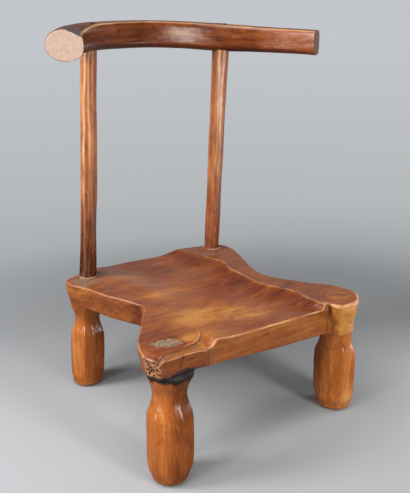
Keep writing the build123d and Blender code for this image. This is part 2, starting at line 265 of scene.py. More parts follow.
# each leg's flat seat under the plank: height, reach, and how far beyond that it fades out
LEG_SEATS = {
    "front_left": (LEFT_SEAT, 56.0, 20),
    "front_right": (RIGHT_SEAT, 33.0, 3),
    "back_left": (LEFT_SEAT, 52.0, 3),
    "back_right": (RIGHT_SEAT, 46.0, 3),
}

FRONT_EDGE = -211.0
# bent lines in the seat's top: the hollow's two creases from the back to the front, the lip
# of the split, the edge of the worm-eaten end, and where the falls behind the posts begin
LEFT_CREASE = [(-130, 250), (-120, 180), (-105, 120), (-92, 60), (-87.6, 7), (-101, -32),
               (-109, -55), (-116, -76), (-126, -98), (-134, -124), (-142, -153), (-136, -167),
               (-127.5, -178), (-124, -196), (-122, -216)]
RIGHT_CREASE = [(84, 245), (85, 215), (95, 180), (106.6, 145.4), (117.4, 114.2), (121.2, 89.4),
                (112, 62), (106.5, 44.9), (105.1, 8.5), (103.7, -26.6), (105.7, -62.6),
                (116.3, -90.4), (129.9, -119.9), (131.6, -146.8), (129, -163.6),
                (131, -182.3), (131.5, -201), (137, -207), (145.5, -209.8), (148.2, -213),
                (150, -232)]
LIP = [(-122, -168), (-129.9, -181.6), (-142.3, -194), (-156.2, -201.5), (-175.2, -205.5),
       (-197.6, -206.8), (-222, -207.5), (-232, -212)]
WORM_EDGE = [(-244, -160), (-245, -178), (-243, -190), (-234, -213)]
BACK_LEFT_FALL = [(-240, 177), (-225, 182.5), (-100, 228), (-40, 250)]
BACK_RIGHT_FALL = [(40, 246), (92, 224), (160, 203), (230, 175)]
GOLDEN = [  # x, y and width of the golden patches, partly a painted highlight
    (-154, -184, 16), (-114, -125, 22), (-102, -184, 26), (-80, -123, 34), (-97, 3.5, 22),
    (-51.5, -100, 34), (-6, -132, 26), (17, -148.5, 30), (-45, 30, 34), (-91, 131, 30)]
TENONS = {  # radius and the turn of its uneven outline
    "front_left": (25.5, 0.4),
    "front_right": (24.0, 1.0),
    "back_left": (23.5, 0.2),
    "back_right": (23.5, 2.0),
}
# x, y and radius of the corner lobes
LOBES = ((-195, -192, 54), (180, -195, 52), (-165, 178, 50), (155, 176, 50))
BEVEL = 3.0  # of the seat's lower edge
EDGE_ROWS, SIDE_ROWS, BEVEL_ROWS, UNDER_ROWS = 7, 26, 4, 22  # rings of the seat below its top


def arc(centre, radius, start, end, count):
    """Points on a circle: centre + radius (cos a, sin a), a from start to end in degrees."""
    a = np.radians(np.linspace(start, end, count))
    return np.stack([centre[0] + radius * np.cos(a), centre[1] + radius * np.sin(a)], 1)


def seat_outline(columns):
    """The seat's outline from above, counter-clockwise: a closed centripetal Catmull-Rom curve
    through the points below, cut into columns that are closer together at the split lobe and
    at the step beside the front right lobe. The step leans here, and slide sets it
    upright."""
    points = np.vstack([
        [(-136.5, -211), (-60, -211.5), (40, -211.5), (147, -211), (148.5, -211.4),
         (153, -219), (155, -227)],
        arc((178, -191), 49, 248, 318, 7),
        [(225, -212), (231, -199), (232, -185), (229, -171), (225, -158), (219, -144),
         (212, -133), (203.5, -124), (195, -115.5), (182, -93.5), (171, -74), (162, -59),
         (154, -42), (149, -25), (147.5, -8), (151, 12), (160, 42), (171, 70), (184, 103),
         (193, 132), (198, 150)],
        arc((152, 171), 47, -10, 80, 8),
        [(100, 224.5), (41, 227), (-7, 233.5), (-50, 237), (-100, 231), (-130, 224)],
        arc((-162, 172), 50, 112, 188, 7),
        [(-203, 143), (-192, 115), (-180, 70), (-166, 35), (-153, 3), (-148.5, -13),
         (-152, -27), (-163, -44), (-184, -74), (-206, -107), (-230, -139),
         (-240.5, -160), (-244.5, -178), (-244, -191), (-240.5, -203), (-236, -214),
         (-233.5, -216.8), (-225, -217.3), (-190, -216.6), (-160, -215.6), (-141, -214.6),
         (-138.5, -213.8), (-137.3, -211.6)],
    ])
    p = [np.roll(points, turn, 0) for turn in (1, 0, -1, -2)]
    knots = [0.0]
    for start, stop in zip(p, p[1:]):
        knots.append(knots[-1] + np.linalg.norm(stop - start, axis=1)[:, None] ** 0.5)
    _, t1, t2, t3 = knots
    rows = []
    for k in np.arange(60) / 60:
        t = t1 + (t2 - t1) * k
        a = (t1 - t) / t1 * p[0] + t / t1 * p[1]
        b = (t2 - t) / (t2 - t1) * p[1] + (t - t1) / (t2 - t1) * p[2]
        c = (t3 - t) / (t3 - t2) * p[2] + (t - t2) / (t3 - t2) * p[3]
        d = (t2 - t) / t2 * a + t / t2 * b
        e = (t3 - t) / (t3 - t1) * b + (t - t1) / (t3 - t1) * c
        rows.append((t2 - t) / (t2 - t1) * d + (t - t1) / (t2 - t1) * e)
    curve = np.stack(rows, 1).reshape(-1, 2)
    curve = np.vstack([curve, curve[:1]])
    length = np.linalg.norm(np.diff(curve, axis=0), axis=1)
    x, y = ((curve[1:] + curve[:-1]) / 2).T
    dense = np.maximum(hump(np.hypot(x + 195, y + 205), 62), hump(np.hypot(x - 146, y + 220), 14))
    weight = np.concatenate([[0], np.cumsum(length * (1 + 2.4 * dense))])
    u = np.linspace(0, weight[-1], columns, endpoint=False)
    return np.stack([np.interp(u, weight, curve[:, k]) for k in (0, 1)], 1)


def slide(points):
    """Moves the front right step's wall inwards, so that it stands square to the front edge:
    x less 6.5 mm times a hump about x = 148, from the front edge outwards."""
    x, y = points[..., 0], points[..., 1]
    moved = points.copy()
    moved[..., 0] = x - 6.5 * np.clip((FRONT_EDGE - y) / 10, 0, 1) * hump(x - 148, 22)
    return moved


def on_plan(x, y):
    """Points of the plan, at height 0."""
    return np.stack([x, y, np.zeros_like(x)], -1)


def left_of_right_crease(x, y):
    """How far a point is to the left of the right crease, whose run wanders by noise."""
    return -beyond(x, y, RIGHT_CREASE) + noise(on_plan(x, y), 16, 4)


def beyond_lip(x, y):
    """How far a point of the front left lobe is out beyond the lip of the split."""
    return beyond(x, y, LIP) * (x < -118)


def seat_height(x, y):
    """The height of the seat's top: level lobes, less a hollow between the two creases whose
    walls are 1 - (1 - distance / run)^1.8 on the left and ^1.6 on the right, less the split
    facet at the front left and the falls at the back, with a raised lip and a crack along
    the split."""
    points = on_plan(x, y)
    left = beyond(x, y, LEFT_CREASE) + 3 * noise(points, 45, 3)
    right = left_of_right_crease(x, y)
    across = np.clip((x + 130) / 260, 0, 1)
    front = ramp(-40, -205, y)
    depth = 11 - 2.5 * ramp(0, 220, y)
    depth = depth + front * (4.0 + 6.9 * across - depth)
    wall_left = 1 - (1 - np.clip(left / 70, 0, 1)) ** 1.8
    run = 62 - 58.5 * ramp(-183, -208, y)
    wall_right = 1 - (1 - np.clip(right / run, 0, 1)) ** 1.6
    height = SEAT_TOP - depth * wall_left * wall_right
    height = height + 0.8 * hump(right + 2.0, 3.0) * ramp(200, 150, y) - 0.3 * hump(left, 8)
    # the split facet
    out = beyond_lip(x, y) + 0.8 * noise(points, 9, 8)
    facet = ramp(-112, -136, x)
    height = height + facet * (
        (0.5 + 0.5 * noise(points, 12, 31)) * hump(out + 2.6, 2.4) - 1.3 * hump(out - 0.4, 0.8)
        - 0.66 * np.clip(out, 0, 60) - 0.8 * ramp(0, 2.0, out) - 1.4 * ramp(-22, 0, out)
    )
    # the worn edge above the worm-eaten end
    worn = beyond(x, y, WORM_EDGE)
    height = height - 5.5 * ramp(15, 0, worn) ** 1.4 * ramp(-150, -172, y) * (x < -150)
    # the falls behind the posts
    for line in (BACK_LEFT_FALL, BACK_RIGHT_FALL):
        fall = np.clip(beyond(x, y, line) + 1.5 * noise(points, 20, 12) + 1, 0, 60)
        height = height - 0.67 * fall**2 / (fall + 6)
    # long low waves, adze scallops and a little grain relief
    height = height + 0.5 * rough(points, (70, 46, 50), 21)
    height = height + 0.30 * np.abs(noise(points, (26, 15, 20), 27))
    return height + 0.08 * noise(points, (30, 3, 5), 29)


def tenon_edge(name, angle):
    """The radius of a tenon's slightly uneven end: r (1 + 0.03 cos(2 a + turn)
    + 0.02 cos(3 a + 2 turn))."""
    radius, turn = TENONS[name]
    return radius * (1 + 0.03 * np.cos(2 * angle + turn) + 0.02 * np.cos(3 * angle + 2 * turn))


def tenon_joint(x, y):
    """How near a point is to the joint round a leg's tenon: 1 on it, 0 well off it."""
    joint = 0.0
    for name in TENONS:
        dx, dy = x - LEG_TOPS[name][0], y - LEG_TOPS[name][1]
        gap = np.hypot(dx, dy) - tenon_edge(name, np.arctan2(dy, dx))
        joint = np.maximum(joint, hump(gap, 0.9))
    return joint


def underside_height(x, y):
    """The height of the seat's underside: lower on the right, with a flat seat for each leg."""
    height = np.interp(x, (-88, 3, 150), (200.5, 192.0, 183.5))
    for name, (level, radius, fade) in LEG_SEATS.items():
        cx, cy = LEG_TOPS[name]
        inside = ramp(radius + fade, radius - 3, np.hypot(x - cx, y - cy))
        height = height + inside * (level - height)
    return height


def seat_rings(columns, top_rows, radius):
    """The seat as rings round its middle. On top a ring is the outline times q, q from 0 to 1;
    then come a rounded edge, the side, which leans in and tapers at the lobes, and the
    underside, whose rings go back to the middle. Gives the points, how far each ring belongs to
    the top, 1, or to the side, 0, and how worm-eaten each point is."""
    outline = seat_outline(columns)
    # the way inwards, square to the outline and smoothed along it
    along = np.roll(outline, -1, 0) - np.roll(outline, 1, 0)
    inward = np.stack([-along[:, 1], along[:, 0]], 1)
    for _ in range(12):
        inward = inward / np.linalg.norm(inward, axis=1)[:, None]
        inward = (np.roll(inward, 1, 0) + 2 * inward + np.roll(inward, -1, 0)) / 4
    inward = inward / np.linalg.norm(inward, axis=1)[:, None]
    x, y = outline[:, 0], outline[:, 1]
    front = ramp(-206, -210, y) * ramp(151, 147, x)  # the whole front face
    lobe = most(*(ramp(size + 22, size - 2, np.hypot(x - cx, y - cy))
                  for cx, cy, size in LOBES))
    lobe = lobe * (1 - front) * (1 - 0.35 * ramp(100, 150, x) * ramp(0, -120, y))
    lobe = lobe * (1 - 0.6 * ramp(-140, -180, x) * ramp(0, -120, y))
    lobe = lobe * (1 - 0.3 * ramp(-100, -150, x))
    worm = ramp(-172, -184, y) * ramp(-228, -236, x)
    edge = radius - 2.8 * front - 3.6 * np.maximum(worm, front * ramp(-140, -150, x) * 0.4)
    edge = edge - 2.0 * ramp(0, -60, x) * ramp(210, 180, y) * (1 - front) * (1 - worm)
    # top
    q = 1 - (1 - np.linspace(0, 1, top_rows + 1)[1:]) ** 1.18
    rim = outline + inward * edge[:, None]
    top = slide(q[:, None, None] * rim)
    rim = slide(rim)
    high = seat_height(rim[:, 0], rim[:, 1])
    # rounded edge
    a = np.radians(np.linspace(90, 0, EDGE_ROWS + 1)[1:, None])
    turn = slide(outline + inward * (edge * (1 - np.cos(a)))[..., None])
    turn_height = high - edge * (1 - np.sin(a))
    # side
    low = underside_height(x, y)
    drop = np.linspace(0, 1, SIDE_ROWS + 1)[1:, None]
    level = (high - edge) + (low + BEVEL - high + edge) * drop
    inset = (5 - 3 * front - 3.5 * lobe) * ramp(243, 217, level) + 4 * lobe * ramp(221, 207, level)
    side = slide(outline + inward * inset[..., None])
    # lower edge, sharper at both ends of the front face, and underside
    last = outline + inward * inset[-1][:, None]
    near = np.maximum(hump(np.hypot(x - 149.5, y + 218), 11), hump(np.hypot(x + 139, y + 213), 8))
    round_in = BEVEL - 2.7 * near
    a = np.radians(np.linspace(0, 90, BEVEL_ROWS + 1)[1:, None])
    foot = slide(last + inward * (round_in * (1 - np.cos(a)))[..., None])
    foot_height = low + BEVEL - BEVEL * np.sin(a)
    q = 1 - np.linspace(0, 1, UNDER_ROWS + 2)[1:-1] ** 0.9
    below = slide(q[:, None, None] * (last + inward * round_in[:, None]))
    plan = np.concatenate([top, turn, side, foot, below])
    height = np.concatenate([seat_height(top[..., 0], top[..., 1]), turn_height, level,
                             foot_height, underside_height(below[..., 0], below[..., 1])])
    points = np.concatenate([plan, height[..., None]], -1)
    # each ring's share of the side's relief, and of the top
    band = np.concatenate([
        np.zeros(top_rows), np.linspace(0, 1, EDGE_ROWS + 1)[1:], np.ones(SIDE_ROWS),
        np.linspace(1, 0, BEVEL_ROWS + 1)[1:], np.zeros(UNDER_ROWS)])[:, None]
    on_top = np.concatenate([np.ones(top_rows), np.linspace(1, 0, EDGE_ROWS + 1)[1:],
                             np.zeros(SIDE_ROWS + BEVEL_ROWS + UNDER_ROWS)])[:, None]
    relief = 0.7 * rough(points, (42, 42, 30), 41) + 0.45 * np.abs(noise(points, (13, 13, 60), 44))
    relief = relief + worm * 1.3 * ramp(0.1, 0.5, noise(points, 7, 47))
    points[..., :2] += inward * (band * relief)[..., None]
    points[..., 2] -= 0.7 * tenon_joint(points[..., 0], points[..., 1]) * (on_top == 1)
    return points, on_top, worm * band * (on_top < 1)


def weathered(x, y):
    """How grey the worn end grain at the front left is: 1 inside a lens about the tenon, pointed
    to the left, whose edge wanders by noise, 0 outside."""
    spot = on_plan(x, y)
    along = (x + 193) * 0.81 - (y + 180) * 0.58
    over = (x + 193) * 0.58 + (y + 180) * 0.81
    reach = np.where(along < 0, 33.0, 26.0)
    half = 18.0 * (1 - np.clip(np.abs(along) / reach, 0, 1) ** 1.4)
    lens = ramp(-1.5, 3.0, half - np.abs(over - 1 - 0.1 * along) + 4.0 * noise(spot, 8, 81))
    return lens * ramp(reach, reach - 4, np.abs(along)) * (1 - 0.5 * ramp(2, 16, along))


def split_facet(x, y, on_top):
    """The bare face of the split beyond its lip: 1 on it, 0 off it."""
    return ramp(0, 3, beyond_lip(x, y)) * ramp(-130, -140, x) * on_top


def seat_tone(points, on_top):
    """The tone of the seat's wood, darker below 0 and paler above: golden patches on top, partly a
    painted highlight; painted shade on the wall of the hollow at the right; sides made paler as
    painted light, and darker lower down; painted light on the front right lobe's side; and a dark
    spot at the left waist."""
    x, y, z = np.moveaxis(points, -1, 0)
    side = 1 - on_top
    # golden patches, partly a painted highlight
    golden = np.minimum(sum(hump(np.hypot((x - gx) / 1.5, y - gy), size)
                            for gx, gy, size in GOLDEN), 1.2)
    right = left_of_right_crease(x, y)
    hollow_wall_shade = ramp(0, 10, right) * ramp(55, 14, right)
    # painted shade on the wall of the hollow at the right
    tone = 0.55 * golden - 0.16 * ramp(60, 200, y) - 0.25 * hollow_wall_shade
    # the sides are made paler, a painted light, and darker lower down
    tone = on_top * tone + side * (0.28 - 0.10 * ramp(235, 200, z))
    tone = tone + 0.35 * split_facet(x, y, on_top)
    face = ramp(-204, -208, y) * side
    tone = tone + face * (0.12 * ramp(20, 120, x) - 0.35 * ramp(-138, -146, x))
    # painted light on the side of the front right lobe
    tone = tone + side * ramp(150, 160, x) * ramp(-150, -190, y) * 0.65
    return tone - side * 0.6 * hump(np.hypot(x + 150, y + 2), 16)


def seat_wear_and_highlights(points, on_top, worm):
    """Where the seat is pale, from 0 to 1: along the right crease, the lip, the upper edge and its
    rim at the front right, partly rubbed wear and partly painted highlights, and on the torn wood of
    the worm-eaten end, which is rubbed pale."""
    x, y, z = np.moveaxis(points, -1, 0)
    side = 1 - on_top
    crease = hump(left_of_right_crease(x, y) + 1.0, 1.1) * ramp(165, 110, y) * (x > 80)
    lip = hump(beyond_lip(x, y) + 2.4, 1.1) * ramp(-112, -136, x)
    lip = lip * (0.25 + 0.65 * ramp(-175, -145, x))
    edge = np.clip(4 * on_top * side, 0, 1) * (on_top < 1)
    edge = edge * (0.35 + 0.4 * (y < -200) + 0.25 * (x > 140) * (y < -150)
                   - 0.22 * ramp(-110, -150, x) * ramp(-160, -120, y))
    rim = hump(z - 240, 1.4) * ramp(152, 158, x) * ramp(-190, -205, y)
    end = hump(z - 238 + 0.06 * (x - 126), 1.3) * ramp(122, 127, x) * (x < 149)
    # the crease, lip, edge, rim and end lines are partly rubbed wear and partly painted highlight
    wear_and_highlight = most(crease * on_top, lip * on_top, edge, 0.7 * rim * side, 0.7 * end * side, 0.6 * worm)
    return np.clip(wear_and_highlight * (0.6 + 0.5 * noise(points, 14, 71)), 0, 1)


def sides_dirt_and_shade(points, side):
    """Darkening on the seat's sides: painted shade in the slit at the front right step and on the
    step at the front left; dirt in the crack beside that step, a split and a check in the lobe's
    face, and the crust under the lobe."""
    x, y, z = np.moveaxis(points, -1, 0)
    # painted shade in the slit and on the step, both recesses
    slit_shade = hump(np.hypot(x - 147.8, (y + 212.5) / 1.6), 2.7) * (z < 244)
    step = hump(x + 138.2, 1.9) + 0.8 * hump(x + 132.5 - 0.05 * (z - 220), 1.3)
    step = step * ramp(-205, -209, y)
    crack = hump(x + 190 + 0.24 * (238 - z) + 1.2 * noise(points, 6, 77), 1.5)
    crack = crack * ramp(209, 213, z) * ramp(-206, -210, y)
    check = hump(z - 230 + noise(points, 6, 79), 0.9) * ramp(-186, -181, x) * ramp(-160, -166, x)
    check = check * ramp(-206, -210, y)
    crust = ramp(216, 208, z + 5 * noise(points, 9, 83)) * ramp(-160, -168, x)
    crust = crust * ramp(-185, -198, y)
    return most(slit_shade * side, step * side, 0.8 * crack * side, 0.6 * check * side,
                1.2 * crust * side)


def dirt_on_top(points, on_top):
    """Dirt on the seat's top: the joints round the tenons, the split, the slit of the front right
    wedge, and a growth ring round that leg's tenon."""
    x, y, _ = np.moveaxis(points, -1, 0)
    joint = 0.35 * tenon_joint(x, y) * np.clip(0.2 + noise(points, 13, 73), 0, 1)
    gap = hump(beyond_lip(x, y) - 0.3, 1.0) * ramp(-112, -136, x)
    gap = gap * (0.5 + 0.4 * noise(points, 11, 75))
    line = hump(y + 185.5 + 1.75 * (x - 163.8), 1.3) * (y < -185) * (y > -223)
    ring = hump(np.hypot(x - 180, y + 194) - 24.5 - noise(points, 12, 85), 1.0)
    ring = ring * np.clip(0.35 + 0.6 * noise(points, 16, 87), 0, 0.6)
    return most(joint * on_top, gap * on_top, 0.55 * line * on_top, ring * on_top)


def seat_grey(points, on_top):
    """Greyed wood on top: the worn end grain at the front left, the dusty patches at the posts'
    feet, and a little on the split facet."""
    x, y, _ = np.moveaxis(points, -1, 0)
    left = ramp(4, -4, np.hypot((x + 184) / 1.15, y - 157) - 28 - 5 * noise(points, 15, 89))
    back = ramp(3, -3, np.hypot(x - 132, (y - 152) / 0.9) - 20 - 5 * noise(points, 12, 91))
    facet = 0.30 * split_facet(x, y, on_top)
    return on_top * most(0.9 * weathered(x, y), 0.55 * left * ramp(-214, -190, x), 0.45 * back,
                         facet * np.clip(0.5 + noise(points, 9, 93), 0, 1))


def seat_marks(points, on_top, worm):
    """The numbers that tell the finish the tone of the seat's wood, and where it is rubbed, grey,
    dirty or worm-eaten. The tone also carries painted light and shade, the rubbing painted
    highlights, and the dirt painted shade."""
    dirt = most(dirt_on_top(points, on_top), sides_dirt_and_shade(points, 1 - on_top))
    return dict(tone=seat_tone(points, on_top), wear_and_highlight=seat_wear_and_highlights(points, on_top, worm),
                end=seat_grey(points, on_top), grime_and_shade=np.clip(dirt, 0, 1), worm=worm)


# --- Legs -----------------------------------------------------------------------------------

LEG_RADII = {  # body, neck, collar, height of the neck, fullness of the foot
    "front_left": (39.0, 29.4, 40.0, 163.0, 0.85),
    "front_right": (38.6, 30.0, 34.5, 162.0, 1.2),
    "back_left": (34.8, 25.6, 38.0, 156.0, 1.4),
    "back_right": (36.0, 27.0, 33.0, 157.0, 0.7),
}
LEG_SHIFTS = {  # the wood lies this far beside the drawn axis below the seat
    "front_left": (-1.2, 0.9),
    "front_right": (0.9, -0.6),
    "back_left": (-2.6, 1.8),
    "back_right": (0.0, 0.0),
}
LEG_TONES = {  # seed, tone of the whole leg, and the painted shade (below 0) and painted light (above 0) on the side that faces the front left
    "front_left": (1, 0.12, -0.55),  # the left legs get painted shade on that side, the front right leg painted light
    "front_right": (2, 0.24, 0.25),
    "back_left": (3, 0.24, -0.50),
    "back_right": (4, 0.10, 0.0),
}
CAP_ROWS = 26  # rings of a tenon's end


def make_leg(name, columns, sides):
    """A leg as level rings about its leaning axis. The radius against the height is a spline
    through the foot, the body, the shoulder, the neck and the collar; the section has
    knife-cut sides of uneven width, stronger on the body than on the neck. Above the seat's
    underside it goes on as a plain round tenon up to the seat's top. Gives the rings, how far
    each is the tenon's end, and how near each point is to an edge between two sides."""
    body, neck, collar, neck_height, full = LEG_RADII[name]
    seed = LEG_TONES[name][0]
    seat = LEG_SEATS[name][0]
    foot = np.array([0.36, 0.54, 0.72, 0.905]) + full * np.array([0.10, 0.17, 0.13, 0.045])
    knots = [0.0, 3, 10, 22, 38, 70, neck_height - 47, neck_height - 32, neck_height - 15,
             neck_height, neck_height + 20, seat - 6, seat]
    radii = [*(foot * body), body, 1.01 * body, body, 0.955 * body, 0.62 * neck + 0.35 * body,
             neck, 0.60 * neck + 0.40 * collar, collar, collar]
    height = np.concatenate([np.linspace(0, 10, 8)[:-1], np.linspace(10, 38, 10)[:-1],
                             np.linspace(38, seat, 120)])
    radius = spline(height, knots, radii)
    angle = np.linspace(0, 2 * np.pi, columns, endpoint=False)
    index = np.arange(sides)
    wobble = lattice(np.stack([index, 0 * index, 0 * index], -1), seed)
    nearness = lattice(np.stack([index, 0 * index + 1, 0 * index], -1), seed)
    directions = 2 * np.pi * (index + 0.22 * wobble) / sides + seed
    section = facets(angle, zip(directions, 0.962 + 0.014 * nearness), 60)
    fading = ramp(neck_height - 34, neck_height - 8, height)
    strength = ramp(0, 62, height) * (1 - 0.55 * fading)
    r = radius[:, None] * (1 + strength[:, None] * (section / section.mean() - 1))
    ring = np.stack([np.cos(angle), np.sin(angle)], -1)
    h = np.broadcast_to(height[:, None, None], (len(height), columns, 1))
    spot = np.concatenate([r[..., None] * ring, h], -1)
    r = r + 0.40 * rough(spot, (20, 20, 60), seed)
    r = r + 0.20 * np.abs(noise(spot, (9, 9, 24), seed + 5))
    wood = np.concatenate([centre_line(name, height)[:, None] + r[..., None] * ring, h], -1)
    # the tenon, and its end in the seat's top
    outline = (tenon_edge(name, angle) - 0.7)[:, None] * ring
    shaft = [np.concatenate([LEG_TOPS[name] + outline, np.full((columns, 1), z)], -1)
             for z in (seat + 0.2, seat + 20, SEAT_TOP - 4)]
    q = np.linspace(1, 0.04, CAP_ROWS)
    cap = LEG_TOPS[name] + q[:, None, None] * outline
    top = seat_height(cap[..., 0], cap[..., 1]) + 0.4 - 0.9 * ramp(0.93, 1.0, q)[:, None]
    rings = np.concatenate([wood, shaft, np.concatenate([cap, top[..., None]], -1)])
    end = np.concatenate([np.zeros(len(wood) + len(shaft)), np.ones(CAP_ROWS)])[:, None]
    corner = ramp(0.45, 1.0, (section - section.min()) / np.ptp(section)) * (1 - end)
    return rings, end, corner * np.pad(strength, (0, len(shaft) + CAP_ROWS))[:, None]


def centre_line(name, height):
    """The middle of a leg at a height: the line from its foot's middle to its top's middle."""
    foot, top = np.array(LEG_FEET[name]), np.array(LEG_TOPS[name])
    t = (height / SEAT_TOP)[:, None]
    return foot + (top - foot) * t + np.array(LEG_SHIFTS[name]) * ramp(205, 180, height)[:, None]


# --- Rail and posts -------------------------------------------------------------------------

# the bend is part of a circle: a place on it is its angle in degrees from the back towards the
# right, and each one has the height of the section's middle, the section's height and width
RAIL_CENTRE = (3.0, -96.0)
RAIL_RADIUS = 287.0
RAIL_ANGLES = (-74.2, -50.0, -28.0, -8.0, 12.0, 32.0, 52.0, 72.6)
RAIL_MIDDLE = (721.0, 725.0, 729.8, 732.2, 730.3, 724.4, 719.6, 715.5)
RAIL_HEIGHT = (48.5, 49.5, 51.0, 52.5, 54.0, 54.5, 50.5, 49.0)
RAIL_WIDTH = (60.5, 52.0, 48.5, 48.0, 48.0, 47.5, 45.0, 44.0)
SAWN_ROWS = 25  # rings of a sawn end


def rail_section(angle, bend):
    """The radius of the rail's section at angles round it, 0 outwards and 90 up, for places
    along its bend: a rounded block (|cos/width|^n + |sin/height|^n)^(-1/n), nearly round at the
    left end and squarer at the right, cut by a flat that leans inwards along its top and by
    one under its inner side."""
    wide = spline(bend, RAIL_ANGLES, RAIL_WIDTH)[:, None] / 2
    high = spline(bend, RAIL_ANGLES, RAIL_HEIGHT)[:, None] / 2
    n = 2.15 + 1.15 * ramp(-70, 60, bend)[:, None]
    n = n + 0.4 * (np.cos(angle) < 0)
    block = (np.abs(np.cos(angle) / wide) ** n + np.abs(np.sin(angle) / high) ** n) ** (-1 / n)
    lean = np.radians(115 - 20 * ramp(-52, -25, bend))[:, None]
    level = 0.925 + 0.055 * ramp(-52, -25, bend)[:, None]
    top = np.maximum(np.cos(angle - lean), 0) / (high * level)
    under = np.radians(-128)
    flat = 0.80 + 0.25 * ramp(-45, -5, bend) + 0.3 * ramp(-56, -66, bend)
    under = np.maximum(np.cos(angle - under), 0) / (high * 1.22 * flat[:, None])
    side = np.maximum(np.cos(angle - np.pi), 0) / (wide * 0.985)
    return (block**-36.0 + top**36 + under**36 + side**36) ** (-1 / 36)


def make_rail(columns, rows):
    """The rail as sections carried along its bend, a circle seen from above. Its width, height
    and middle follow splines along the bend, and both ends are sawn flat. Gives the rings, each
    point's place in the straightened branch, and the marks for the finish."""
    angle = np.linspace(0, 2 * np.pi, columns, endpoint=False)
    bend = np.linspace(RAIL_ANGLES[0], RAIL_ANGLES[-1], rows)
    middle = spline(bend, RAIL_ANGLES, RAIL_MIDDLE)[:, None]
    r = rail_section(angle, bend)
    bend = bend[:, None]
    along = RAIL_RADIUS * np.radians(bend) + 0 * angle
    spot = np.stack([along, r * np.cos(angle), r * np.sin(angle)], -1)
    r = r + 0.5 * rough(spot, (80, 26, 26), 61) + 0.35 * np.abs(noise(spot, (30, 12, 9), 65))
    out, up = r * np.cos(angle), r * np.sin(angle)
    path = np.stack([along, out, up], -1)
    skew = np.tan(np.radians(16)) * ramp(60, RAIL_ANGLES[-1], bend)
    turn = np.radians(bend) - skew * out / RAIL_RADIUS
    reach = RAIL_RADIUS + out - 5 * hump(bend + 61, 10)
    rings = np.stack([RAIL_CENTRE[0] + reach * np.sin(turn), RAIL_CENTRE[1] + reach * np.cos(turn),
                      middle + up], -1)
    # the sawn ends: the end ring shrunk to its middle, with a slightly broken edge
    q = np.concatenate([[0.985], np.linspace(0.965, 0.03, SAWN_ROWS - 1)])[:, None, None]
    push = np.concatenate([[0.9], np.full(SAWN_ROWS - 1, 1.4)])[:, None, None]
    shrink = np.array([0.0, 1.0, 1.0]) * q + np.array([1.0, 0.0, 0.0])
    sawn = []
    for ring, following in ((rings[0], rings[1]), (rings[-1], rings[-2])):
        centre = ring.mean(0)
        away = centre - following.mean(0)
        sawn.append(centre + q * (ring - centre) + push * away / np.linalg.norm(away))
    rings = np.concatenate([sawn[0][::-1], rings, sawn[1]])
    path = np.concatenate([(path[0] * shrink)[::-1], path, path[-1] * shrink])
    # marks: the ridge along the top, rubbed pale and partly a painted highlight, the dull band over
    # it, and a painted sheen in the middle
    ends = ((SAWN_ROWS, SAWN_ROWS), (0, 0))
    side = (angle > np.radians(100)) & (angle < np.radians(172))
    ridge = angle[np.argmax(np.where(side, r, 0), axis=1)]
    ridge = np.convolve(np.pad(ridge, 12, "edge"), np.full(25, 1 / 25), "valid")[:, None]
    gap = r * (angle - ridge)
    worn = hump(gap + 0.6, 1.9) * (1.0 + 0.4 * noise(spot, 24, 67))
    # a painted sheen on the inner face near the middle of the bend
    worn = worn + 0.4 * hump(bend - 12, 5) * hump(angle - 3.0, 0.22)
    dull = ramp(1.0, -3.0, gap) * ramp(0.9, 1.2, angle) * (0.45 + 0.35 * ramp(-30, -62, bend))
    # painted shade on the underside; the tone also makes the left part darker
    under = ramp(3.6, 4.0, angle) * ramp(5.6, 5.0, angle)
    tone = 0.28 * ramp(-30, 20, bend) - 0.45 * under - 0.30
    cut = np.concatenate([np.ones(SAWN_ROWS - 1), [0.4], np.zeros(rows + SAWN_ROWS)])[:, None]
    # the right sawn end is made darker and duller
    return rings, path, dict(
        wear_and_highlight=np.pad(np.clip(worn, 0, 1), ends), tone=np.pad(tone, ends, constant_values=-0.3),
        grime_and_shade=np.pad(0.75 * dull, ends) + 0.3 * cut[::-1], end=cut)


POSTS = {  # place on the rail's bend, and radii from foot to top
    "left": (-32.0, (17.0, 16.3, 15.6, 15.5, 15.9, 15.8, 15.2, 15.0, 14.8)),
    "right": (31.2, (16.6, 16.9, 16.0, 16.2, 16.8, 16.2, 16.4, 16.9, 17.5)),
}
POST_TURNS = {"left": 0.773, "right": 0.651}  # of the first facet, in radians
# the wood lies this far beside the drawn axis at its foot and at its top
POST_SHIFTS = {"left": ((-1.0, 0.4), (-1.2, 0.8)), "right": ((-1.4, 1.0), (2.4, -1.7))}
POST_TENON = 10.8  # radius of the tenon through the rail


def rail_at(bend):
    """The middle of the rail at a place on its bend, and its height there."""
    a = math.radians(bend)
    middle, high = (float(spline(np.array(bend), RAIL_ANGLES, values))
                    for values in (RAIL_MIDDLE, RAIL_HEIGHT))
    return (RAIL_CENTRE[0] + RAIL_RADIUS * math.sin(a),
            RAIL_CENTRE[1] + RAIL_RADIUS * math.cos(a), middle), high


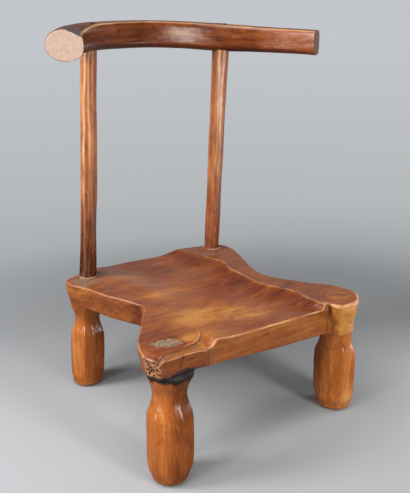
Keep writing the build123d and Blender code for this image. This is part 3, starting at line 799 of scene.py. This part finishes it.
def make_post(side, seed, columns, rows, sides):
    """A post as level rings along its leaning axis, with long knife-cut sides that wander
    along it, a tenon in the leg below, and one through the rail above. Gives the rings, how far
    along the post each is, and how near each point is to an edge between two sides."""
    bend, radii = POSTS[side]
    foot = LEG_TOPS["back_" + side]
    place, high = rail_at(bend)
    low_shift, high_shift = POST_SHIFTS[side]
    start = np.array([foot[0] + low_shift[0], foot[1] + low_shift[1], SEAT_TOP])
    finish = np.array([place[0] + high_shift[0], place[1] + high_shift[1],
                       place[2] - high / 2 + 6])
    t = np.linspace(0, 1, rows)
    angle = np.linspace(0, 2 * np.pi, columns, endpoint=False)
    length = np.linalg.norm(finish - start)
    s = t * length
    radius = spline(t, np.linspace(0, 1, len(radii)), radii)
    cuts = []
    for i in range(sides):
        line = np.stack([s / 95.0, np.full(rows, i * 3.7), np.full(rows, seed * 1.3)], -1)
        direction = 2 * np.pi * i / sides + 0.28 * noise(line, 1, seed) + POST_TURNS[side]
        distance = 0.945 + 0.035 * noise(line * 1.4 + 9.5, 1, seed + 2)
        cuts.append((direction[:, None], distance[:, None]))
    section = facets(angle, cuts, 50)
    section = section / section.mean(1)[:, None]
    r = radius[:, None] * section
    ring = np.stack([np.cos(angle), np.sin(angle), 0 * angle], -1)
    centre = start + (finish - start) * t[:, None]
    spot = np.concatenate([r[..., None] * ring[:, :2],
                           np.broadcast_to(s[:, None, None], (rows, columns, 1))], -1)
    r = r + 0.20 * rough(spot, (12, 12, 50), seed)
    rings = centre[:, None] + r[..., None] * ring
    lean = (finish - start) / length
    below = [start + 10.0 * ring - (0, 0, down) for down in (44, 2)]
    above = [finish + lean * up + size * ring
             for up, size in ((0.3, POST_TENON), (20, POST_TENON), (high - 6.4, POST_TENON),
                              (high - 5.9, 10.2), (high - 5.8, 5.0))]
    corner = ramp(-0.2, 0.9, section * 12 - 11.6)
    ends = len(below), len(above)
    along = np.pad(s, ends, constant_values=(0, length))[:, None] + 0 * angle
    return np.concatenate([below, rings, above]), along, np.pad(corner, (ends, (0, 0)))


def square_to(lean, x, y):
    """The level direction (x, y), tilted to stand square to a leaning axis."""
    level = np.array([x, y, 0.0])
    return level - lean * (level @ lean)


def make_wedge(top, across, down, thickness, half_width, depth):
    """A thin wedge driven down into a tenon: rings of a flattened round
    (|x|/width)^6 + (|y|/thickness)^6 = 1 that narrow towards the tip, with a broken top edge."""
    a = np.linspace(0, 2 * np.pi, 48, endpoint=False)
    r = (np.abs(np.cos(a)) ** 6 + np.abs(np.sin(a)) ** 6) ** (-1 / 6)
    t = np.array([0.0, 0.0, 0.02, 0.3, 0.6, 1.0])[:, None, None]
    size = np.array([0.6, 0.93, 1.0, 1.0, 0.98, 0.95])[:, None, None]
    thick = (thickness + (1.0 - thickness) * t) / 2
    return (top + size * half_width * (r * np.cos(a))[:, None] * across
            + size * thick * (r * np.sin(a))[:, None] * np.cross(down, across) + t * depth * down)


def make_putty(side, width, seed):
    """Filler squeezed out round a post's foot: a low uneven collar, highest against the post."""
    _, radii = POSTS[side]
    a = np.linspace(0, 2 * np.pi, 120, endpoint=False)
    ring = np.stack([np.cos(a), np.sin(a)], -1)
    reach = np.array([0.4, 1.0, 1.0, 0.98, 0.9, 0.75, 0.55, 0.3, 0.0, -0.4])[:, None]
    rise = np.array([-1.0, -1.0, 0.0, 0.25, 0.5, 0.7, 0.85, 0.97, 1.0, 1.0])[:, None]
    spot = np.concatenate([8 * ring, np.full((len(a), 1), 3.0 * seed)], -1)
    width = width * (1 + 0.45 * noise(spot, 6, seed))
    high = 2.4 + 1.2 * noise(spot, 5, seed + 3)
    plan = LEG_TOPS["back_" + side] + (radii[0] + reach * width)[..., None] * ring
    z = seat_height(plan[..., 0], plan[..., 1]) + rise * high
    rings = np.concatenate([plan, z[..., None]], -1)
    rings[..., 2] += 0.35 * noise(rings, 2.6, seed + 7) * (rise > 0)
    return rings


# --- Finishes -------------------------------------------------------------------------------


def carved_wood(name, shades, grain, dull, seed, mottle=0.55, place=None):
    """Waxed hardwood. shades are eight colours: deep, middle, warm and light wood, rubbed wood,
    which also paints highlights, grey end grain dark and light, and dirt, which also paints shade.
    grain is the axis that the fibres run along, dull the roughness of the wax, mottle how strongly
    old wax darkens the wood, and place the attribute that follows a bent piece, or None for the
    object's own place."""
    material, tree = new_material(name)
    if place:
        place = add(tree, "Attribute", attribute_name=place).outputs["Vector"]
    else:
        place = add(tree, "TexCoord").outputs["Object"]
    source = {}
    # noises: their size in mm along and across the fibres, detail, roughness and twist
    for key, long, short, detail, roughness, twist in (
        ("clouds", 120, 60, 3, 0.5, 0.3),  # broad changes of tone across the plank
        ("mottle", 30, 17, 4, 0.62, 0.8),  # redder, darker patches of old wax
        ("bands", 150, 8, 5, 0.62, 0.4),  # growth rings cut lengthwise
        ("fibres", 26, 1.3, 3, 0.5, 0.0),  # fibres, coarser than the real 0.3 mm so that they show
        ("pores", 9, 0.9, 2, 0.5, 0.0),  # pores, drawn 0.9 mm wide for the real 0.2 mm
        ("scrapes", 26, 2.6, 2, 0.4, 0.6),  # knife and scraper marks
        ("dints", 12, 9, 3, 0.5, 0.3),  # dents of a finger's width
        ("pits", 4, 4, 3, 0.7, 0.0),  # crumbs of dirt and grey wood
    ):
        size = [short] * 3
        size[grain] = long
        seed += 1
        scaled = add(tree, "Mapping", Vector=place, Location=(seed * 1.7, seed * 0.9, seed * 2.3),
                     Scale=[1000 / k for k in size])
        source[key] = add(tree, "TexNoise", Vector=scaled, Scale=1.0, Detail=detail,
                          Roughness=roughness, Distortion=twist)
    for key in ("tone", "wear_and_highlight", "end", "grime_and_shade", "worm"):
        source[key] = add(tree, "Attribute", attribute_name=key).outputs["Fac"]
    for key, cell in (("holes", 5.2), ("specks", 15.0)):
        scaled = add(tree, "Mapping", Vector=place, Scale=(1000 / cell,) * 3)
        source[key] = add(tree, "TexVoronoi", Vector=scaled, Scale=1.0)
    # masks: source, its values at 0 and at full strength, that strength, and what it is times
    for key, base, low, high, strength, times in (
        ("patches", "mottle", 0.44, 0.72, mottle, None),
        ("flecks", "pores", 0.42, 0.30, 0.45, None),
        ("scratches", "scrapes", 0.62, 0.74, 0.20, None),
        ("dark_lines", "scrapes", 0.36, 0.27, 0.35, None),
        ("spots", "specks", 0.13, 0.07, 0.55, None),
        # the rubbed mask also lays the painted highlights, and the dirt mask the painted shade
        ("rubbed_and_highlit", "bands", 0.0, 0.65, 1.0, "wear_and_highlight"),
        ("grey", "pits", -0.25, 0.45, 1.0, "end"),
        ("dirt", "pits", 0.05, 0.50, 1.0, "grime_and_shade"),
        ("bored", "holes", 0.46, 0.34, 1.0, "worm"),
    ):
        mask = add(tree, "MapRange", interpolation_type="SMOOTHSTEP", Value=source[base],
                   From_Min=low, From_Max=high, To_Max=strength)
        if times:
            mask = add(tree, "Math", operation="MULTIPLY", use_clamp=True, _0=mask,
                       _1=source[times])
        source[key] = mask
    # the tone picks the wood's colour, which the masks then change; the wax is duller on dirt
    # and grey wood, and the relief is in mm
    totals = []
    for total, shares in (
        (-0.31, (("clouds", 0.75), ("bands", 0.60), ("fibres", 0.20), ("tone", 0.5))),
        (dull - 0.10, (("bands", 0.20), ("dirt", 0.30), ("grey", 0.30), ("patches", -0.08))),
        (0.0, (("fibres", 0.10), ("pores", 0.10), ("pits", 0.12), ("dints", 0.9),
               ("scrapes", 0.25), ("spots", -0.5), ("bored", -2.0))),
    ):
        for key, share in shares:
            total = add(tree, "Math", operation="MULTIPLY_ADD", _0=source[key], _1=share, _2=total)
        totals.append(total)
    tone, dullness, relief = totals
    colour = add(tree, "ValToRGB", [(k / 3, shade) for k, shade in enumerate(shades[:4])], Fac=tone)
    grey = add(tree, "ValToRGB", [(0.38, shades[5]), (0.60, shades[6])], Fac=source["pits"])
    for key, blend, over in (
        ("patches", "MULTIPLY", (0.42, 0.22, 0.16, 1)),
        ("flecks", "MULTIPLY", (0.30, 0.24, 0.20, 1)),
        ("dark_lines", "MULTIPLY", (0.35, 0.25, 0.20, 1)),
        ("scratches", "MIX", shades[3]),
        ("spots", "MULTIPLY", (0.18, 0.12, 0.10, 1)),
        ("rubbed_and_highlit", "MIX", shades[4]),
        ("grey", "MIX", grey),
        ("dirt", "MIX", shades[7]),
        ("bored", "MIX", shades[7]),
    ):
        colour = add(tree, "Mix", data_type="RGBA", blend_type=blend, _0=source[key], _6=colour,
                     _7=over).outputs[2]
    bump = add(tree, "Bump", Strength=0.6, Distance=MM, Height=relief)
    shader = add(tree, "BsdfPrincipled", Base_Color=colour, Roughness=dullness, Normal=bump,
                 IOR=1.5)
    add(tree, "OutputMaterial", Surface=shader)
    return material


def filler(name, shades):
    """Dried wood filler: matt crumbs of 3 mm, brown to pale."""
    material, tree = new_material(name)
    place = add(tree, "TexCoord").outputs["Object"]
    scaled = add(tree, "Mapping", Vector=place, Scale=(330.0, 330.0, 330.0))
    crumbs = add(tree, "TexNoise", Vector=scaled, Scale=1.0, Detail=4.0, Roughness=0.7)
    colour = add(tree, "ValToRGB", list(zip((0.36, 0.52, 0.64), shades)), Fac=crumbs)
    bump = add(tree, "Bump", Strength=0.6, Distance=MM, Height=crumbs)
    shader = add(tree, "BsdfPrincipled", Base_Color=colour, Roughness=0.78, Normal=bump)
    add(tree, "OutputMaterial", Surface=shader)
    return material


# --- Sizes and colours a user may change ----------------------------------------------------


COLOURS = (  # name, what it is the colour of, sRGB
    ("seat_deep", "Dark streaks of the seat", "#35140a"),
    ("seat_middle", "Reddish brown of the seat", "#703213"),
    ("seat_warm", "Warm brown of the seat", "#96531f"),
    ("seat_light", "Golden streaks of the seat", "#bd7e34"),
    ("leg_deep", "Dark streaks of the legs", "#421a07"),
    ("leg_middle", "Brown of the legs", "#824114"),
    ("leg_warm", "Orange brown of the legs", "#b2642a"),
    ("leg_light", "Pale streaks of the legs", "#dca25c"),
    ("post_deep", "Dark streaks of the posts", "#3d170b"),
    ("post_middle", "Brown of the posts", "#844426"),
    ("post_warm", "Pinkish brown of the posts", "#ad6a40"),
    ("post_light", "Pale streaks of the posts", "#e0ac84"),
    ("rail_deep", "Dark streaks of the rail", "#2c1006"),
    ("rail_middle", "Brown of the rail", "#632c0c"),
    ("rail_warm", "Warm brown of the rail", "#934e21"),
    ("rail_light", "Pale streaks of the rail", "#c08450"),
    # worn also paints the highlights on the seat's edges, the rail's ridge and the posts' streaks
    ("worn", "Edges rubbed pale", "#dba878"),
    ("grey_dark", "Hollows of weathered end grain", "#5d4a34"),
    ("grey_light", "Weathered end grain", "#928169"),
    ("sawn_dark", "Saw marks on the rail's ends", "#c9a591"),
    ("sawn_light", "Fresh sawn end of the rail", "#d4b4a2"),
    # dirt also paints the shade in the seat's slit and step
    ("dirt", "Old wax and dirt in joints and cracks", "#120a07"),
    ("filler_dark", "Filler in the shade", "#4e382c"),
    ("filler_mid", "Dried filler", "#7d614f"),
    ("filler_pale", "Pale crumbs of filler", "#b8a18c"),
    ("paper", "The stage's floor", "#a1a3a5"),
)


class ChairSizes(bpy.types.PropertyGroup):
    """Sizes of the carving; the joints' places stay with the fixed frame."""
    edge: FloatProperty(
        name="Edge", description="Radius of the seat's upper edge", default=0.006, min=0.002,
        max=0.012, unit="LENGTH")
    leg_facets: IntProperty(
        name="Leg facets", description="Knife-cut sides of a leg", default=9, min=5, max=16)
    post_facets: IntProperty(
        name="Post facets", description="Knife-cut sides of a post", default=7, min=4, max=12)
    filler_width: FloatProperty(
        name="Filler", description="Width of the filler round a post's foot", default=0.0026,
        min=0.001, max=0.006, unit="LENGTH")
    wedge: FloatProperty(
        name="Wedge", description="Thickness of a wedge at its top", default=0.0045, min=0.002,
        max=0.008, unit="LENGTH")
    seat_columns: IntProperty(
        name="Seat columns", description="Steps round the seat's outline", default=640, min=120)
    seat_rings: IntProperty(
        name="Seat rings", description="Steps from the middle of the seat's top to its edge",
        default=80, min=20)


class ChairColours(bpy.types.PropertyGroup):
    """Colours of the woods, from deep to light, and of what lies on them."""
    __annotations__ = {
        name: FloatVectorProperty(
            name=name.replace("_", " ").capitalize(), description=description,
            default=linear(value)[:3], subtype="COLOR", size=3, min=0.0, max=1.0)
        for name, description, value in COLOURS
    }


def woods(context, part, ends=("grey_dark", "grey_light")):
    """The eight shades of a wood: its own four, rubbed wood, its two end shades and dirt."""
    own = (part + shade for shade in ("_deep", "_middle", "_warm", "_light"))
    return [(*getattr(context.scene.chair_colours, name), 1.0)
            for name in (*own, "worn", *ends, "dirt")]


def seat_wood(context):
    """The seat's finish: African hardwood, adzed and waxed for years, which looks mottled, and
    golden in patches that are partly polished by use and partly a painted highlight."""
    return bpy.data.materials.get("waxed_seat_plank") or carved_wood(
        "waxed_seat_plank", woods(context, "seat"), grain=0, dull=0.40, seed=1)


# --- Stage ----------------------------------------------------------------------------------

BEHIND = (0.581, 0.814, 0.0)  # the way the camera looks, and the way to its right, both level
RIGHTWARDS = (0.81, -0.58, 0.0)
CAMERA_PLACE = (-0.7375, -1.0441, 0.7585)
CAMERA_DOWN, CAMERA_TURN = 18.38, -35.54  # degrees below level, and anticlockwise from +Y
LENS_PIXELS, FRAME_PIXELS = 681.7, 493  # the lens's length and the frame's height
BACKDROP = ((0.0, "#8c8f91"), (0.05, "#9fa2a5"), (0.15, "#b5b9bc"), (0.30, "#c3c6ca"),
            (0.52, "#bdbfc2"), (0.75, "#56585a"))
LAMPS = (  # name, place, aim, width and height, watts
    ("key", (-1.5, 0.5, 1.35), (0, 0, 0.3), (0.6, 1.5), 42.5),
    ("window", (-1.7, -0.35, 1.2), (0, 0, 0.2), (0.35, 0.6), 10.0),
    ("side", (0.62, -0.38, 0.2), (0.2, -0.2, 0.12), (0.2, 0.3), 1.3),
    ("low", (-1.4, -0.4, 0.3), (-0.2, -0.1, 0.14), (0.16, 0.22), 2.8),
    ("strip", (0.2, -1.9, 0.8), (0, 0, 0.5), (0.35, 1.5), 27.0),
    ("top", (-0.4, -0.5, 2.3), (0, 0, 0.2), (1.2, 1.0), 20.0),
)


def floor_paper(front):
    """Matt paper with painted shade behind the chair, fading out into the backdrop.
    Reflections in the wax see a darker floor. front is its colour in front of the chair."""
    paper, tree = new_material("matt_grey_paper")
    place = add(tree, "TexCoord").outputs["Object"]
    out = add(tree, "VectorMath", operation="LENGTH", _0=place).outputs["Value"]
    fade = add(tree, "MapRange", interpolation_type="SMOOTHERSTEP", Value=out, From_Min=0.5,
               From_Max=1.25)
    # painted shade: the paper darkens behind the chair
    back = add(tree, "VectorMath", operation="DOT_PRODUCT", _0=place, _1=BEHIND).outputs["Value"]
    shade_behind = add(tree, "MapRange", interpolation_type="SMOOTHSTEP", Value=back, From_Min=-0.15,
                 From_Max=0.45)
    mirrored = add(tree, "LightPath").outputs["Is Glossy Ray"]
    tint = front
    for share, dimmed in ((shade_behind, 0.76), (mirrored, 0.3)):
        tint = add(tree, "Mix", data_type="RGBA", _0=share, _6=tint,
                   _7=(*[dimmed * c for c in front[:3]], 1.0)).outputs[2]
    matt = add(tree, "BsdfDiffuse", Color=tint)
    both = add(tree, "MixShader", _0=fade, _1=matt, _2=add(tree, "BsdfTransparent"))
    add(tree, "OutputMaterial", Surface=both)
    return paper


def studio():
    """A grey backdrop with a painted shadow low down on the right, that only the camera and
    reflections see; reflections see a dark room in front of it. All else gets a faint even light."""
    world = bpy.data.worlds.new("studio")
    world.use_nodes = True
    tree = world.node_tree
    tree.nodes.clear()
    way = add(tree, "TexCoord").outputs["Generated"]
    up = add(tree, "SeparateXYZ", Vector=way).outputs["Z"]
    rise = add(tree, "MapRange", Value=up, From_Min=-0.46, From_Max=1.0)
    seen = add(tree, "ValToRGB", [(place, linear(shade)) for place, shade in BACKDROP], Fac=rise)
    across, behind = (
        add(tree, "VectorMath", operation="DOT_PRODUCT", _0=way, _1=axis).outputs["Value"]
        for axis in (RIGHTWARDS, BEHIND))
    right, low, room = (
        add(tree, "MapRange", interpolation_type="SMOOTHSTEP", Value=value, From_Min=start,
            From_Max=stop, To_Max=strength)
        for value, start, stop, strength in (
            (across, -0.15, 0.25, 1.0), (up, -0.24, -0.42, 0.55), (behind, 0.7, -0.3, 0.9)))
    path = add(tree, "LightPath").outputs
    # the first mix paints the chair's shadow low on the right; the second darkens what reflections
    # see in front
    for one, other, dark in ((right, low, "#5c5f61"), (room, path["Is Glossy Ray"], "#2c2d2e")):
        share = add(tree, "Math", operation="MULTIPLY", _0=one, _1=other)
        seen = add(tree, "Mix", data_type="RGBA", _0=share, _6=seen, _7=linear(dark)).outputs[2]
    shown = add(tree, "Math", operation="MAXIMUM", _0=path["Is Camera Ray"],
                _1=path["Is Glossy Ray"])
    light = add(tree, "Background", Color=linear("#e6ebf0"), Strength=0.13)
    seen = add(tree, "Background", Color=seen, Strength=1.0)
    both = add(tree, "MixShader", _0=shown, _1=light, _2=seen)
    add(tree, "OutputWorld", Surface=both)
    return world


# --- The piece operators --------------------------------------------------------------------


class MakeSeat(bpy.types.Operator):
    """Carve the seat over its node"""
    bl_idname = "chair.make_seat"
    bl_label = "Seat"

    def execute(self, context):
        sizes = context.scene.chair_sizes
        points, on_top, worm = seat_rings(sizes.seat_columns, sizes.seat_rings, sizes.edge / MM)
        piece = shell("seat_plank", points, seat_marks(points, on_top, worm))
        settle(piece, "seat", seat_wood(context))
        return {"FINISHED"}


class MakeLegs(bpy.types.Operator):
    """Carve the four legs with their tenons"""
    bl_idname = "chair.make_legs"
    bl_label = "Legs"

    def execute(self, context):
        # the same wood with its grain upright, more orange and glossier on the facets
        wood = carved_wood("waxed_leg_wood", woods(context, "leg"), grain=2, dull=0.21, seed=21,
                           mottle=0.30)
        columns = 180
        for name, (_, pale, side_shading) in LEG_TONES.items():
            rings, end, edge = make_leg(name, columns, context.scene.chair_sizes.leg_facets)
            x, y, z = np.moveaxis(rings, -1, 0)
            below = 1 - end
            tone = pale - 0.30 * ramp(190, 215, z) * below - 0.15 * edge
            out = (rings - rings.mean(1, keepdims=True)) / 38.0  # about 1 at the leg's surface
            # painted shade on the left legs and painted light on the front right leg, on the side
            # facing the front left
            tone = tone + side_shading * ramp(0.0, 0.9, 0.6 * out[..., 0] - 0.8 * out[..., 1])
            # dirt under the seat and at the floor, the front left leg's crust, growth rings
            crust = ramp(193, 200, z + 5 * noise(rings, 9, 83)) * below * (name == "front_left")
            ring = hump((np.hypot(x - LEG_TOPS[name][0], y - LEG_TOPS[name][1]) % 7.5) - 3, 0.8)
            ring = ring * end * np.clip(0.4 + noise(rings, 15, 87), 0, 1)
            grime_and_shade = most(0.6 * ramp(197, 204, z) * below + 0.4 * ramp(6, 0, z), crust, 0.28 * ring)
            grey = 0.9 * weathered(x, y) * end * (name == "front_left")
            piece = shell(name + "_leg_wood", rings, dict(tone=tone, end=grey, grime_and_shade=grime_and_shade))
            settle(piece, name + "_leg", wood)
            # the tenon's end in the seat's top has the seat's finish
            piece.data.materials.append(seat_wood(context))
            quads = (len(rings) - 1) * columns  # before the two fans
            slots = np.zeros(quads + 2 * columns, np.int32)
            slots[quads - (CAP_ROWS + 1) * columns : quads] = 1
            slots[-columns:] = 1
            piece.data.polygons.foreach_set("material_index", slots)
        return {"FINISHED"}


class MakePosts(bpy.types.Operator):
    """Whittle the two posts"""
    bl_idname = "chair.make_posts"
    bl_label = "Posts"

    def execute(self, context):
        # straight-grained sticks, whittled and rubbed by hands: glossy, with pale streaks on the
        # facets that are painted highlights
        wood = carved_wood("waxed_post_wood", woods(context, "post"), grain=2, dull=0.20,
                           seed=41, mottle=0.7)
        columns = 96
        angle = np.linspace(0, 360, columns, endpoint=False)
        # seed, how dark the foot is, and the middle and width of each painted highlight streak in
        # degrees
        for side, seed, dark, painted_streaks in (("left", 11, 1.1, ((212, 11), (248, 8))),
                                          ("right", 12, 0.45, ((236, 9), (262, 7)))):
            rings, along, edge = make_post(side, seed, columns, rows=220,
                                           sides=context.scene.chair_sizes.post_facets)
            # pale streaks where the lamps' reflections run: painted highlights
            painted_streak = 0.0
            for middle, width in painted_streaks:
                line = np.stack([along / 60, 0 * along + width, 0 * along], -1)
                middle = middle + 9 * noise(line, 1, seed)
                painted_streak = np.maximum(painted_streak, hump(angle - middle, width))
            painted_streak = painted_streak * (0.75 + 0.5 * noise(rings, (9, 9, 40), seed + 9))
            painted_streak = painted_streak * (0.10 + 1.1 * ramp(60, 330, along))
            # darker towards the foot, and painted shade at the top where the post meets the rail
            tone = 0.05 - dark * ramp(210, 10, along) - 0.35 * ramp(420, 455, along)
            # the facets' edges are paled too, partly rubbed wear and partly painted highlight
            wear_and_highlight = np.clip(np.maximum(0.22 * edge * ramp(20, 200, along), painted_streak), 0, 1)
            grime_and_shade = 0.85 * ramp(711, 715, rings[..., 2])  # the tenon's end in the rail's top
            piece = shell(side + "_post_stick", rings, dict(tone=tone, wear_and_highlight=wear_and_highlight, grime_and_shade=grime_and_shade))
            settle(piece, side + "_post", wood)
        return {"FINISHED"}


class MakeRail(bpy.types.Operator):
    """Shape the curved rail"""
    bl_idname = "chair.make_rail"
    bl_label = "Rail"

    def execute(self, context):
        # a bent branch, shaved smooth and waxed dark; its left sawn end stays pale and matt, and the
        # right one is darker and duller
        shades = woods(context, "rail", ("sawn_dark", "sawn_light"))
        wood = carved_wood("waxed_rail_branch", shades, grain=0, dull=0.31, seed=61, mottle=0.6,
                           place="path")
        rings, path, marks = make_rail(columns=160, rows=360)
        piece = shell("rail_branch", rings, dict(path=path * MM, **marks))
        settle(piece, "back_rail", wood)
        return {"FINISHED"}


class MakeWedges(bpy.types.Operator):
    """Drive the four wedges"""
    bl_idname = "chair.make_wedges"
    bl_label = "Wedges"

    def execute(self, context):
        thickness = context.scene.chair_sizes.wedge / MM
        # split slips of the same wood, duller since only their end grain shows
        wood = carved_wood("split_wedge_wood", woods(context, "seat"), grain=2, dull=0.5,
                           seed=81)
        for side, degrees in (("left", 15.0), ("right", -32.0)):
            name = "front_" + side
            top = np.array(LEG_TOPS[name])
            lean = np.array([*(top - np.array(LEG_FEET[name])), SEAT_TOP])
            lean = lean / np.linalg.norm(lean)
            turn = math.radians(degrees)
            across = square_to(lean, math.cos(turn), math.sin(turn))
            z = float(seat_height(top[:1], top[1:])[0]) + 0.5
            rings = make_wedge(np.array([*top, z]), across, -lean, thickness,
                               half_width=21.0, depth=32.0)
            grey = weathered(rings[..., 0], rings[..., 1]) * (side == "left")
            piece = shell(name + "_wedge_slip", rings, dict(end=grey, tone=grey - 0.3))
            settle(piece, name + "_wedge", wood)
        for side in ("left", "right"):
            bend, _ = POSTS[side]
            place, high = rail_at(bend)
            lean = np.array(place) - np.array([*LEG_TOPS["back_" + side], SEAT_TOP])
            lean = lean / np.linalg.norm(lean)
            turn = math.radians(-bend)
            across = square_to(lean, math.sin(turn), math.cos(turn))
            top = np.array(place) + lean * (high / 2 + 0.3)
            rings = make_wedge(top, across / np.linalg.norm(across), -lean, thickness,
                               half_width=9.0, depth=24.0)
            piece = shell(side + "_post_wedge_slip", rings, dict(tone=-0.5, grime_and_shade=0.7))
            settle(piece, side + "_post_wedge", wood)
        return {"FINISHED"}


class MakePutty(bpy.types.Operator):
    """Press filler round the feet of the posts"""
    bl_idname = "chair.make_putty"
    bl_label = "Putty"

    def execute(self, context):
        shades = [(*getattr(context.scene.chair_colours, "filler_" + shade), 1.0)
                  for shade in ("dark", "mid", "pale")]
        paste = filler("dry_wood_filler", shades)
        width = context.scene.chair_sizes.filler_width / MM
        for side, seed in (("left", 21), ("right", 22)):
            piece = shell(side + "_post_filler", make_putty(side, width, seed), {})
            settle(piece, side + "_post_putty", paste)
        return {"FINISHED"}


class MakeStage(bpy.types.Operator):
    """Lay the floor and set the lamps and the camera"""
    bl_idname = "chair.make_stage"
    bl_label = "Stage"

    def execute(self, context):
        scene = context.scene
        mesh = bpy.data.meshes.new("floor")
        mesh.from_pydata([(-4, -4, 0), (4, -4, 0), (4, 4, 0), (-4, 4, 0)], [], [(0, 1, 2, 3)])
        mesh.materials.append(floor_paper((*scene.chair_colours.paper, 1.0)))
        floor = bpy.data.objects.new("floor", mesh)
        scene.collection.objects.link(floor)
        scene.world = studio()
        for name, spot, aim, size, watts in LAMPS:
            lamp = bpy.data.lights.new(name, "AREA")
            lamp.shape = "RECTANGLE"
            lamp.size, lamp.size_y = size
            lamp.energy = watts
            holder = bpy.data.objects.new(name, lamp)
            holder.location = spot
            x, y, z = np.array(aim) - np.array(spot)  # the lamp is turned to face that way
            holder.rotation_euler = (math.atan2(math.hypot(x, y), -z), 0.0,
                                     math.atan2(y, x) - math.pi / 2)
            scene.collection.objects.link(holder)
        lens = bpy.data.cameras.new("view")
        lens.sensor_fit = "VERTICAL"
        lens.sensor_height = 36.0
        lens.lens = LENS_PIXELS / FRAME_PIXELS * lens.sensor_height
        camera = bpy.data.objects.new("view", lens)
        camera.location = CAMERA_PLACE
        camera.rotation_euler = (math.radians(90 - CAMERA_DOWN), 0.0, math.radians(CAMERA_TURN))
        scene.collection.objects.link(camera)
        scene.camera = camera
        scene.view_settings.view_transform = "Standard"
        return {"FINISHED"}


class ChairPanel(bpy.types.Panel):
    """The chair's sizes, colours and steps"""
    bl_idname = "VIEW3D_PT_chair"
    bl_label = "Birthing Chair"
    bl_space_type = "VIEW_3D"
    bl_region_type = "UI"
    bl_category = "Chair"

    def draw(self, context):
        column = self.layout.column()
        for group in (context.scene.chair_sizes, context.scene.chair_colours):
            for name in group.__annotations__:
                column.prop(group, name)
        for step in STEPS:
            column.operator(step.bl_idname)


STEPS = (MakeStage, MakeSeat, MakeLegs, MakePosts, MakeRail, MakeWedges, MakePutty)
CLASSES = (ChairSizes, ChairColours, *STEPS, ChairPanel)


def register():
    for kind in CLASSES:
        bpy.utils.register_class(kind)
    bpy.types.Scene.chair_sizes = PointerProperty(type=ChairSizes)
    bpy.types.Scene.chair_colours = PointerProperty(type=ChairColours)


def unregister():
    del bpy.types.Scene.chair_sizes
    del bpy.types.Scene.chair_colours
    for kind in reversed(CLASSES):
        bpy.utils.unregister_class(kind)


def main():
    register()
    for step in STEPS:
        getattr(bpy.ops.chair, step.bl_idname.split(".")[1])()


if __name__ == "__main__":
    main()
